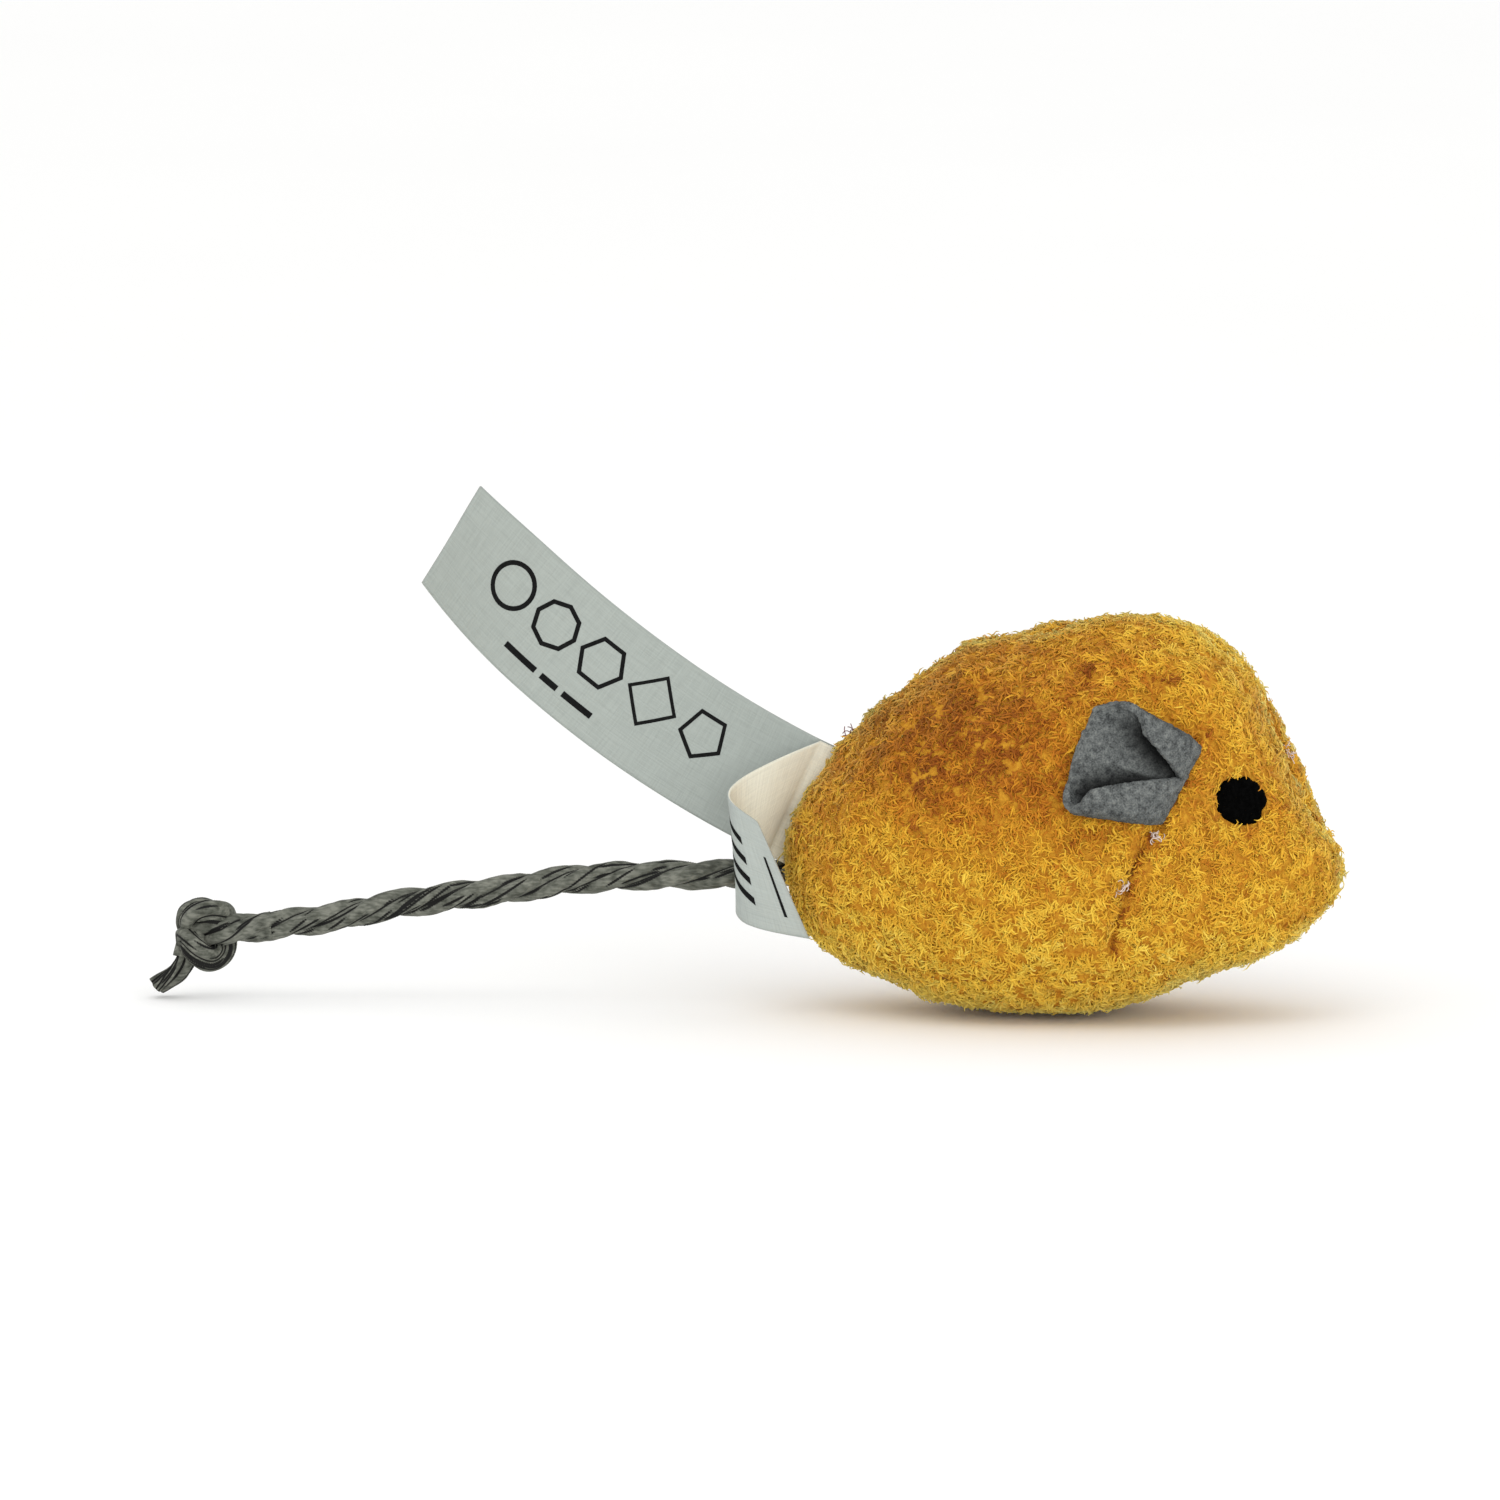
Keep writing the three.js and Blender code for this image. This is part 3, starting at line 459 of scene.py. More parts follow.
def cord_mesh(name, path, scale, crease_count, seed, flatten=1.0, lay_from=0.0):
    """Creased strands along a path; scale and flatten are one number, or one for each step.

    The twist is counted from lay_from, in mm along the path, so that two stretches can match.
    """
    along = length_along(path)[:, None]
    lay = (along - lay_from) / LAY_LENGTH
    turns = (np.arange(CORD_POINTS)[None, :] / CORD_POINTS + lay) * 2 * math.pi
    outline = three_strands(turns)
    valley = 1 - (outline - outline.min()) / np.ptp(outline)
    creases = crease_field(along, turns, crease_count, seed)
    ring = [np.cos(turns) * CRUMPLE_RING, np.sin(turns) * CRUMPLE_RING, np.broadcast_to(along, turns.shape)]
    crumple = ripples(np.stack(ring, axis=-1).reshape(-1, 3), CRUMPLE_WAVE, seed).reshape(turns.shape)
    radii = outline - CREASE_DEPTH * creases + CRUMPLE_HEIGHT * crumple
    mesh = make_mesh(name, *tube_arrays(path, radii * np.asarray(scale, float).reshape(-1, 1), flatten))
    # painted shade: the kept value darkens the creases and the valleys between strands
    dark = np.maximum(creases, np.clip(valley, 0, 1) ** VALLEY_POWER)
    add_values(mesh, "crease", np.concatenate([dark.ravel(), [CUT_SHADE, CUT_SHADE]]))
    return mesh


tail_mesh = cord_mesh("tail_cord", tail_path, scale=1.0, crease_count=120, seed=3)
print("tail cord mesh:", len(tail_mesh.vertices), "points")

# %% [markdown]
# ## Paper finish
# The paper is a dull olive grey. Its creases are nearly black where the paper is folded in, and the ridges
# are rubbed a little paler. The kept crease depth drives painted shade along the creases and between the
# strands, and two noises, one of them stretched, give the paper its blotches and streaks.

# %% Paper finish


def paper_finish():
    material, tree, shader = new_finish("grey_paper_cord", roughness=0.72, gloss=0.25)
    fibre = noise_of(tree, grain=0.35, detail=4.0, stretch=(0.25, 1, 1))
    sheet = add_ramp(tree, mean_of(tree, noise_of(tree, grain=1.6), fibre), [
        (0.38, colour(64, 66, 58)), (0.5, colour(94, 96, 87)), (0.62, colour(122, 123, 113)),
    ])
    # painted shade along the creases and between the strands
    fold = add_ramp(tree, kept_at_points(tree, "crease"), [(0.25, (0, 0, 0, 1)), (0.5, (1, 1, 1, 1))])
    tree.links.new(mixed(tree, fold, sheet, colour(14, 14, 12)), shader.inputs["Base Color"])
    add_bump(tree, shader, fibre, depth=0.05)
    return material


paper = paper_finish()
print("paper finish:", len(paper.node_tree.nodes), "nodes")

# %% [markdown]
# ## Tail: cord, knot and loose end
# The knot is a real overhand knot: the cord goes through the middle, round over the front, down behind and
# back through, and its short end hangs out below. It is a second, tighter stretch of the same cord, so it
# overlaps the long stretch where the cord dives in. The last few millimetres were cut with scissors and fan
# out flat.

# %% Tail pieces
KNOT_ROUTE = [
    [8.0, 0.3, 1.1], [4.5, 0.0, 0.8], [1.6, -0.3, 0.4], [-0.8, 0.5, 0.2], [-2.2, 0.7, 0.6],
    [-2.3, -0.2, 2.0], [-0.9, -1.0, 3.0], [0.9, -0.7, 2.9], [1.9, 0.9, 1.6], [1.7, 1.7, -0.5],
    [1.3, 0.9, -2.4], [0.1, -0.7, -2.9], [-1.3, -1.6, -1.6], [-2.2, -0.9, -0.6], [-2.3, 0.4, -1.6],
    [-2.6, 0.1, -3.2],
]
TIP_ROUTE = [[-72.4, -3.2, -10.6], [-73.2, -3.3, -12.2], [-74.6, -3.4, -13.6], [-76.7, -3.5, -15.1]]
TIP_SCALE = (0.78, 1.14)  # from the knot to the cut
TIP_FLATTEN = (0.9, 0.5)

knot_path = smooth_path(np.array(KNOT_ROUTE) + KNOT_PLACE + SWIVEL, step=0.2)
knot_mesh = cord_mesh("tail_knot_cord", knot_path, scale=0.98, crease_count=90, seed=8)
tip_path = smooth_path(np.array(TIP_ROUTE) + SWIVEL, step=0.12)
tip_scale, tip_flatten = (np.linspace(*ends, len(tip_path)) for ends in (TIP_SCALE, TIP_FLATTEN))
tip_mesh = cord_mesh(
    "tail_loose_end", tip_path, scale=tip_scale, crease_count=24, seed=9, flatten=tip_flatten
)

knot = add_piece(knot_mesh, paper, "tail_end", ["tail_knot"])
tip = add_piece(tip_mesh, paper, "tail_end", ["tail_tip"])
tail = add_piece(tail_mesh, paper, nodes=["tail_cord_root", "tail_cord_end"])
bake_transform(tail)
print("knot cord:", round(length_along(knot_path)[-1], 1), "mm of cord in the knot")

# %% [markdown]
# ## Anchor inside the rear seam
# A cord that was only glued to the outside would pull out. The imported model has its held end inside, with a
# small knot that can't slip through the seam. It is shown as a short stretch of the same cord, thickened
# where that inner knot is. It is slightly thinner than the free cord, comes out of the seam inside it and
# bends there, so that no cut end shows when the tail swings.

# %% Tail anchor
ANCHOR_ROUTE = [[9.6, -0.5, 1.3], [7.0, -0.2, 0.9], [5.0, 0.0, 0.4], [3.3, 0.1, 0.1], [0, 0, 0]]
ANCHOR_OUT = [-2.5, -0.1, -0.05]  # its last point, inside the free cord
ANCHOR_SCALE = 0.9
INNER_KNOT_AT, INNER_KNOT_REACH = 0.15, 0.11  # shares of the anchor's length
INNER_KNOT_SWELL = 0.55

anchor_path = smooth_path(np.array([*ANCHOR_ROUTE, ANCHOR_OUT]) + SWIVEL, step=0.2)
held_length = length_along(smooth_path(ANCHOR_ROUTE, step=0.2))[-1]
anchor_share = np.linspace(0, 1, len(anchor_path))
anchor_scale = ANCHOR_SCALE + INNER_KNOT_SWELL * fade(anchor_share - INNER_KNOT_AT, INNER_KNOT_REACH)
anchor_mesh = cord_mesh(
    "tail_anchor_cord", anchor_path, scale=anchor_scale, crease_count=20, seed=12, lay_from=held_length
)
anchor = add_piece(anchor_mesh, paper, nodes=["tail_anchor"])
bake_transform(anchor)
print("anchor reaches", round(anchor_path[0][0] - SWIVEL[0], 1), "mm into the body")

# %% [markdown]
# ## Body: one skin round the sewn panels
# The three plush panels meet at seams, and a cut edge would show as a hard line under the pile. The panels
# and what fills them are wrapped in one closed skin, which is smoothed and then pushed in by the depth of
# the pile. Only the outermost shell is kept, as the wrapping also finds the hollow between panel and wad.

# %% Body skin: wrap
PILE_DEPTH = 0.92
BODY_NODES = [
    "right_side_panel", "left_side_panel", "belly_panel", "stuffing_front", "stuffing_rear", "catnip_pouch",
    "centre_seam_thread", "belly_seam_thread", "tail_anchor",
]


def triangles_of(mesh):
    """A mesh's triangles, as rows of point numbers."""
    mesh.calc_loop_triangles()
    flat = np.empty(len(mesh.loop_triangles) * 3, np.int32)
    mesh.loop_triangles.foreach_get("vertices", flat)
    return flat.reshape(-1, 3)


def joined(lots):
    """Several lots as one; a lot is its points and a list of arrays of faces."""
    points, groups, start = [], [], 0
    for lot_points, lot_groups in lots:
        points.append(lot_points)
        groups += [group + start for group in lot_groups]
        start += len(lot_points)
    return np.vstack(points), groups


def after_modifier(mesh, kind, **settings):
    """A new mesh, as one modifier leaves it."""
    holder = bpy.data.objects.new("holder", mesh)
    scene.collection.objects.link(holder)
    modifier = holder.modifiers.new("step", kind)
    for name, value in settings.items():
        setattr(modifier, name, value)
    made = bpy.data.meshes.new_from_object(holder.evaluated_get(bpy.context.evaluated_depsgraph_get()))
    bpy.data.objects.remove(holder)
    bpy.data.meshes.remove(mesh)
    return made


def keep_outside(mesh, rounds):
    """Keeps the shell that the highest point belongs to, and smooths it."""
    work = bmesh.new()
    work.from_mesh(mesh)
    top = max(work.verts, key=lambda vert: vert.co.z)
    seen, queue = {top}, [top]
    while queue:
        for edge in queue.pop().link_edges:
            for vert in edge.verts:
                if vert not in seen:
                    seen.add(vert)
                    queue.append(vert)
    bmesh.ops.delete(work, geom=[vert for vert in work.verts if vert not in seen], context="VERTS")
    for _ in range(rounds):
        bmesh.ops.smooth_vert(
            work, verts=work.verts, factor=0.5, use_axis_x=True, use_axis_y=True, use_axis_z=True
        )
    work.to_mesh(mesh)
    work.free()


def wrapped(name, nodes, grain, rounds, levels=0):
    """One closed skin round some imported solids."""
    solids = [frame["nodes"][node].data for node in nodes]
    mesh = make_mesh(name, *joined((points_of(solid), [triangles_of(solid)]) for solid in solids))
    mesh = after_modifier(mesh, "REMESH", mode="VOXEL", voxel_size=grain * MM)
    keep_outside(mesh, rounds)
    if levels:
        mesh = after_modifier(mesh, "SUBSURF", levels=levels, render_levels=levels)
    mesh.name = name
    mesh.shade_smooth()
    return mesh


skin_mesh = wrapped("plush_backing", BODY_NODES, grain=0.8, rounds=5, levels=1)
skin_size = np.ptp(points_of(skin_mesh), axis=0)
print("skin:", len(skin_mesh.vertices), "points,", np.round(skin_size, 1).tolist(), "mm")

# %% [markdown]
# ## Body: seams, darts and lumps
# A sewn toy is drawn in along its seams and lumpy between them. The skin gets a valley along the centre
# seam, a deeper notch on the forehead where three seams meet, a valley round the belly seam, a wandering
# dart down each cheek below the ear, a dimple behind each ear, a dent under each eye, a small nose tip, and
# soft lumps of two sizes from the filling. Each is a depth that fades with the distance from a line or a
# point.

# %% Body skin: shape
DART_LINE = np.array([  # x and z, from the ear down the cheek
    [20.5, 36.9], [18.2, 31.9], [15.9, 26.9], [15.0, 25.4],
    [13.5, 21.6], [12.2, 19.3], [11.0, 14.9], [10.0, 9.7],
])
DART_WANDER = ((4, 0.55, 31), (4, 0.55, 32))  # wavelength, reach and seed, along x and along z
DART_CLOSING = (3, 0.35, 33)  # it closes up here and there
DART_LEAST = 0.3
DART_WIDTH, DART_DEPTH = 0.7, 1.1
EAR_DIMPLE = np.array([6.2, 43.6])
DIMPLE_WIDTH, DIMPLE_DEPTH = 1.1, 0.8
SIDE_FROM = 4.0  # mm off the middle plane, where darts and dimples begin
BELLY_SEAM = 6.0  # height of the seam round the belly
BELLY_WIDTH, BELLY_DEPTH = 0.9, 0.5
SEAM_WIDTH, SEAM_DEPTH = 1.0, 0.7  # of the centre seam
SEAM_RISE = 2.0  # mm over the belly seam, where the centre seam has its full depth
TAPES_END, TAPES_FADE = -30, 8  # x behind which the tapes fill the seam, and mm over which it deepens
FOREHEAD = np.array([21.8, 0, 47.8])
NOTCH_WIDTH, NOTCH_DEPTH = 2.2, 1.0
EYE_PLACE = np.array([24.9, 28.5])
DENT_WIDTH, DENT_DEPTH = 4.0, 0.7
DENT_FROM = 3.0  # mm off the middle plane
NOSE = np.array([37.4, 0, 22.6])
NOSE_WIDTH, NOSE_HEIGHT = 1.6, 0.6
LUMPS = ((14, 0.45, 21), (5, 0.2, 22))  # wavelength, height and seed
DRAWN_IN = [  # x, z, reach and depth of slack stretches of the outline
    (-14, 43, 14, 0.4), (-18, 4, 10, 1.4), (24, 3, 8, 1.3), (36, 18, 5, 0.4), (2, 0, 14, 0.4),
]
FLAT_BELOW = 3.0  # height under which the belly's flat stays flat


def layered_ripples(points, layers, waves=14):
    """Ripples of several sizes at once; a layer is a wavelength in mm, a height and a seed."""
    return sum(height * ripples(points, wavelength, seed, waves) for wavelength, height, seed in layers)


def off_line(spots, line):
    """The distance of flat spots from a polyline, in mm."""
    nearest = np.full(len(spots), np.inf)
    for a, b in zip(line[:-1], line[1:]):
        share = np.clip((spots - a) @ (b - a) / ((b - a) @ (b - a)), 0, 1)
        nearest = np.minimum(nearest, np.linalg.norm(spots - a - share[:, None] * (b - a), axis=1))
    return nearest


def crease_shares(points):
    """How much each point lies in a dart or in a dimple, 0 to 1."""
    spots = points[:, [0, 2]]
    on_side = np.abs(points[:, 1]) > SIDE_FROM
    wander = np.column_stack([layered_ripples(points, [layer]) for layer in DART_WANDER])
    dart = fade(off_line(spots + wander, DART_LINE), DART_WIDTH) * on_side
    dart *= np.clip(1.0 + layered_ripples(points, [DART_CLOSING]), DART_LEAST, 1)
    dimple = fade(np.linalg.norm(spots - EAR_DIMPLE, axis=1), DIMPLE_WIDTH) * on_side
    return dart, dimple


skin_points = points_of(skin_mesh)
skin_ways = normals_of(skin_mesh)
dart_share, dimple_share = crease_shares(skin_points)
above_belly = np.clip((skin_points[:, 2] - BELLY_SEAM) / SEAM_RISE, 0, 1)
ahead_of_tapes = np.clip((skin_points[:, 0] - TAPES_END) / TAPES_FADE, 0, 1)
upright = 1 - np.abs(skin_ways[:, 2])
off_eye = np.linalg.norm(skin_points[:, [0, 2]] - EYE_PLACE, axis=1)

depth = layered_ripples(skin_points, LUMPS) - DART_DEPTH * dart_share - DIMPLE_DEPTH * dimple_share
depth -= SEAM_DEPTH * fade(skin_points[:, 1], SEAM_WIDTH) * above_belly * ahead_of_tapes
depth -= NOTCH_DEPTH * fade(np.linalg.norm(skin_points - FOREHEAD, axis=1), NOTCH_WIDTH)
depth -= BELLY_DEPTH * fade(skin_points[:, 2] - BELLY_SEAM, BELLY_WIDTH) * upright
depth -= DENT_DEPTH * fade(off_eye, DENT_WIDTH) * (np.abs(skin_points[:, 1]) > DENT_FROM)
depth += NOSE_HEIGHT * fade(np.linalg.norm(skin_points - NOSE, axis=1), NOSE_WIDTH)
for x, z, reach, drawn in DRAWN_IN:
    depth -= drawn * fade(np.hypot(skin_points[:, 0] - x, skin_points[:, 2] - z), reach)
resting = np.clip(skin_points[:, 2] / FLAT_BELOW, 0, 1)
set_points(skin_mesh, skin_points + skin_ways * (depth * resting - PILE_DEPTH)[:, None])
print("lumps and valleys from", round(depth.min(), 2), "to", round(depth.max(), 2), "mm")

# %% [markdown]
# ## Body: backing piece
# The woven backing is seen only between tufts, so it is a dull brown with a fine grain. It stands for the
# three panels. A search tree over its faces is kept: everything sewn or stuck to the body asks it where the
# surface is.

# %% Body backing
SIDE_LOOK = 60.0  # mm off the middle plane, from where the sides are looked at

cloth, cloth_tree, cloth_shader = grained_finish(
    "plush_backing", roughness=0.95, gloss=0.1, grain=0.6,
    stops=[(0.3, colour(170, 108, 28)), (0.7, colour(206, 150, 46))],
)
add_bump(cloth_tree, cloth_shader, noise_of(cloth_tree, grain=0.3), depth=0.15)
panels = ["right_side_panel", "left_side_panel", "belly_panel"]
backing = add_piece(skin_mesh, cloth, "mouse", panels)

skin_points = points_of(skin_mesh)
skin_ways = normals_of(skin_mesh)
skin_triangles = triangles_of(skin_mesh)
skin_tree = BVHTree.FromPolygons([tuple(p) for p in skin_points], [tuple(t) for t in skin_triangles.tolist()])


def on_skin(start, way):
    """Where a straight look from start, along way, meets the backing: the place and the way out, in mm."""
    place, out, _, _ = skin_tree.ray_cast(Vector(start), Vector(way))
    return np.array(place), np.array(out)


eye_spots = {}
for side_name, side in (("right", -1), ("left", 1)):
    eye_spots[side_name] = on_skin((EYE_PLACE[0], side * SIDE_LOOK, EYE_PLACE[1]), (0, -side, 0))
print("eyes on the backing, in mm:", {k: np.round(v[0], 1).tolist() for k, v in eye_spots.items()})

# %% [markdown]
# ## Pile: how one tuft is made
# The plush has a short, dense, curly pile. A bumpy material would look like a sponge, so each tuft is a tiny
# tapered hook of its own: three rings of three points and a tip, which leaves the backing, leans over and
# curls. All tufts are made at once from arrays. Each has a strip of its own on the colour map, across for
# its shade and along for root to tip.

# %% Pile: tufts
TUFT_POINTS = 10  # three rings of three, and the tip
TUFT_RADII = (0.1, 0.14, 0.09)  # mm at the root, the middle and below the tip
TUFT_STEPS = (0.36, 0.36, 0.28)  # shares of its length
TUFT_SINK = 0.25  # its root goes into the backing
STRIP_HALF = 0.004  # half width of a tuft's strip, and its levels from root to tip
STRIP_LEVELS = (0.03, 0.42, 0.78, 0.98)


def tuft_points(roots, ways, flows, lengths, leans, curls, swirls):
    """Points of all tufts, ten each: rings at the root, middle and neck, then the tip."""
    rings = []
    place = roots - ways * TUFT_SINK
    for step, (radius, share) in enumerate(zip(TUFT_RADII, TUFT_STEPS)):
        lean = (leans + curls * step)[:, None]
        swirl = (swirls * step)[:, None]
        flow = flows * np.cos(swirl) + np.cross(ways, flows) * np.sin(swirl)
        heading = ways * np.cos(lean) + flow * np.sin(lean)
        across = np.cross(ways, flow)
        over = np.cross(heading, across)
        for corner in range(3):
            turn = corner * 2 * math.pi / 3
            rings.append(place + (across * math.cos(turn) + over * math.sin(turn)) * radius)
        place = place + heading * (lengths * share)[:, None]
    rings.append(place)
    return np.stack(rings, axis=1)


def tuft_faces(count):
    """Corners of all tufts: six sides, then three tip faces and a root face."""
    first = np.arange(count)[:, None, None] * TUFT_POINTS
    quads, tips = [], []
    for corner in range(3):
        after = (corner + 1) % 3
        for ring in (0, 3):
            quads.append([ring + corner, ring + after, ring + 3 + after, ring + 3 + corner])
        tips.append([6 + corner, 6 + after, 9])
    tips.append([2, 1, 0])
    return (first + np.array(quads)).reshape(-1, 4), (first + np.array(tips)).reshape(-1, 3)


def tuft_strips(tones):
    """The colour map's corners, in the order of tuft_faces."""
    low, mid, neck, tip = STRIP_LEVELS
    sides = []
    for corner in range(3):
        for bottom, top in ((low, mid), (mid, neck)):
            sides.append([(-1, bottom), (1, bottom), (1, top), (-1, top)])
    ends = [[(-1, neck), (1, neck), (0, tip)]] * 3 + [[(-1, 0.01), (1, 0.01), (0, low)]]
    spread = []
    for corners in (np.array(sides, float), np.array(ends, float)):
        strip = np.broadcast_to(corners, (len(tones), *corners.shape)).copy()
        strip[..., 0] = tones[:, None, None] + strip[..., 0] * STRIP_HALF
        spread.append(strip.reshape(-1, 2))
    return np.vstack(spread)


print("one tuft:", TUFT_POINTS, "points,", len(tuft_faces(1)[0]) + len(tuft_faces(1)[1]), "faces")

# %% [markdown]
# ## Pile: where tufts grow
# Tufts are scattered evenly over the backing, by area: a triangle is drawn with a chance that follows its
# size, and then a place in it. None grow under the eyes or where the cord comes out.

# %% Pile: roots
TUFT_COUNT = 92000
EYE_BARE = 3.4  # mm round each eye's middle
EXIT_BARE = 1.6  # mm round the cord's middle
EXIT_AHEAD = -28  # the cord comes out behind this x

rng = np.random.default_rng(51)
corners = skin_points[skin_triangles]
areas = np.linalg.norm(np.cross(corners[:, 1] - corners[:, 0], corners[:, 2] - corners[:, 0]), axis=1) / 2
chosen = rng.choice(len(areas), TUFT_COUNT, p=areas / areas.sum())
mix = rng.dirichlet((1, 1, 1), TUFT_COUNT)[..., None]
roots = (corners[chosen] * mix).sum(axis=1)
ways = unit((skin_ways[skin_triangles][chosen] * mix).sum(axis=1))

eye_gap = np.min([np.linalg.norm(roots - place, axis=1) for place, _ in eye_spots.values()], axis=0)
exit_gap = np.hypot(roots[:, 1] - SWIVEL[1], roots[:, 2] - SWIVEL[2])
exit_gap[roots[:, 0] > EXIT_AHEAD] = np.inf
grows = (eye_gap > EYE_BARE) & (exit_gap > EXIT_BARE)
roots, ways, exit_gap = roots[grows], ways[grows], exit_gap[grows]
print("tufts:", len(roots), "on", round(areas.sum() / 100, 1), "cm2")

# %% [markdown]
# ## Pile: locks
# Tufts that each lean their own way would look like grass. Real pile mats into small locks, so each tuft
# belongs to the nearest of 7000 lock middles, takes most of its lean from it and bends towards it.
# Tufts at a lock's rim are shorter. The pile is worn short round the cord, pressed flat where the toy stands
# and thin in the darts.

# %% Pile: locks
LOCK_COUNT = 7000
LOCK_REACH = 1.1  # mm from a lock's middle to its rim
LOCK_PULL = 0.8  # towards its middle
LOCK_LEANS = (0.7, 1.1)  # radians
LOCK_SHADES = 0.06  # spread of the locks' shades
OWN_DRIFT, OWN_LEAN = 0.4, 0.15  # how far each tuft strays from its lock
STROKED = np.array([-0.3, 0, -0.3])  # the pile lies back and down a little
TUFT_LENGTH, TUFT_SPREAD = 1.9, 0.3
TUFT_LIMITS = (1.1, 2.7)
TUFT_CURLS = (0.4, 0.7)  # radians at each step
TUFT_SWIRL = 0.9
RIM_SHORTER = 0.25
DART_SHORTER = 0.5
EXIT_WORN = 4.0  # mm round the cord's middle
WORN_LEAST = 0.35
PRESSED_LEAST, PRESSED_BELOW = 0.45, 6.0  # share of its length, and mm over which it grows back

count = len(roots)
lock_middles = roots[rng.choice(count, LOCK_COUNT, replace=False)]
lock_tree = KDTree(LOCK_COUNT)
for index, middle in enumerate(lock_middles):
    lock_tree.insert(middle, index)
lock_tree.balance()
found = [lock_tree.find(root) for root in roots]
locks = np.array([index for _, index, _ in found])
rim_share = np.clip([gap / LOCK_REACH for _, _, gap in found], 0, 1) ** 2  # 1 at a lock's rim
lock_flow = rng.normal(size=(LOCK_COUNT, 3))
lock_lean = rng.uniform(*LOCK_LEANS, LOCK_COUNT)
lock_tone = rng.normal(0, LOCK_SHADES, LOCK_COUNT)

drift = lock_flow[locks] + rng.normal(0, OWN_DRIFT, (count, 3)) + STROKED
drift += (lock_middles[locks] - roots) / LOCK_REACH * LOCK_PULL
flows = unit(drift - ways * (drift * ways).sum(axis=1, keepdims=True))
dart_share, dimple_share = crease_shares(roots)
lengths = np.clip(rng.normal(TUFT_LENGTH, TUFT_SPREAD, count), *TUFT_LIMITS)
lengths *= (1 - DART_SHORTER * dart_share) * (1 - RIM_SHORTER * rim_share)
lengths *= np.clip(exit_gap / EXIT_WORN, WORN_LEAST, 1)
lengths *= np.clip(PRESSED_LEAST + roots[:, 2] / PRESSED_BELOW, PRESSED_LEAST, 1)
leans = lock_lean[locks] + rng.normal(0, OWN_LEAN, count)
curls = rng.uniform(*TUFT_CURLS, count)
swirls = rng.normal(0, TUFT_SWIRL, count)
print("locks:", LOCK_COUNT, "with", round(count / LOCK_COUNT), "tufts each, mean length",
      round(lengths.mean(), 2), "mm")

# %% [markdown]
# ## Pile: shades
# The pile's own colour varies in small patches and from lock to lock. Painted shade browns its upper flanks,
# darkens the locks' rims, where the gaps between locks lie, and the darts and dimples; painted light makes it
# paler on the brow and towards the belly. Each tuft gets one number, from 0 for dark brown to 1 for pale
# straw.

# %% Pile: shades
MEAN_SHADE = 0.45
OWN_SHADE = 0.05  # spread of the tufts in one lock
PATCHES = ((17, 0.04, 71), (4.5, 0.06, 72), (2.2, 0.06, 73))  # wavelength, strength and seed
# painted shade: the pile is browner high on each flank, where less light fell
UPPER_SHADE_SPOT, UPPER_SHADE_REACH = np.array([-8, 36]), np.array([18, 9.5])  # x and z, on each flank
# painted light: the pile is paler on the brow
BROW_LIGHT_SPOT, BROW_LIGHT_REACH = np.array([21, 45]), 9
# painted light: the pile is paler towards the belly, where more light fell from below
LIT_BELOW, LIT_SPAN = 28, 26  # heights
# painted shade on the upper flanks, at the locks' rims, where the gaps between locks lie, and in the darts
# and dimples
UPPER_SHADE_DARKER, LOCK_RIM_SHADE, CREASE_SHADE = 0.32, 0.18, 0.6
# painted light towards the belly and on the brow
BELLY_LIGHT, BROW_LIGHT = 0.3, 0.12
SHADE_LIMITS = (0.03, 0.97)

spots = roots[:, [0, 2]]
upper_shade = fade(np.linalg.norm((spots - UPPER_SHADE_SPOT) / UPPER_SHADE_REACH, axis=1), 1.0)
brow_light = fade(np.linalg.norm(spots - BROW_LIGHT_SPOT, axis=1), BROW_LIGHT_REACH)
belly_lit = np.clip((LIT_BELOW - roots[:, 2]) / LIT_SPAN, 0, 1)
tones = MEAN_SHADE + layered_ripples(roots, PATCHES) + lock_tone[locks] + rng.normal(0, OWN_SHADE, count)
# painted light towards the belly and on the brow; painted shade on the upper flanks and at the locks' rims
tones += BELLY_LIGHT * belly_lit + BROW_LIGHT * brow_light - UPPER_SHADE_DARKER * upper_shade - LOCK_RIM_SHADE * rim_share
# painted shade: the tufts in the darts and dimples are darkened
tones = np.clip(tones - CREASE_SHADE * np.maximum(dart_share, dimple_share), *SHADE_LIMITS)
print("mean shade:", round(tones.mean(), 2))

# %% [markdown]
# ## Pile: finish and pieces
# The shade strip is a dark brown to pale straw ramp, darker at each tuft's root, as little light gets down
# there. A sheen gives the pale rim that short fibres have where they are seen edge-on. The pile is cut into
# ten pieces so that none has too many faces. A tuft of fine fibres has no hard lit and dark side, so its
# normals are turned part of the way towards the body's own.

# %% Pile: pieces
SOFT_SHARE = 0.7  # how far a tuft is lit as the body's own surface
UNDER_SLOPE = -0.6  # the way out has this much up in it, or less, on the belly


def pile_finish():
    material, tree, shader = new_finish("mustard_pile", roughness=0.85, gloss=0.15)
    shader.inputs["Sheen Weight"].default_value = 1.0
    shader.inputs["Sheen Roughness"].default_value = 0.45
    shader.inputs["Sheen Tint"].default_value = colour(255, 240, 140)
    strip = add_node(tree, "ShaderNodeUVMap", uv_map="OFBake").outputs["UV"]
    parts = add_node(tree, "ShaderNodeSeparateXYZ", {"Vector": strip})
    shade = add_ramp(tree, parts.outputs["X"], [
        (0.0, colour(128, 60, 14)), (0.25, colour(190, 116, 28)), (0.5, colour(224, 168, 46)),
        (0.75, colour(242, 202, 72)), (1.0, colour(252, 228, 122)),
    ])
    depth = add_ramp(tree, parts.outputs["Y"], [(0.0, (0.78, 0.68, 0.54, 1)), (0.6, (1, 1, 1, 1))])
    tree.links.new(mixed(tree, 1.0, shade, depth, "MULTIPLY"), shader.inputs["Base Color"])
    return material


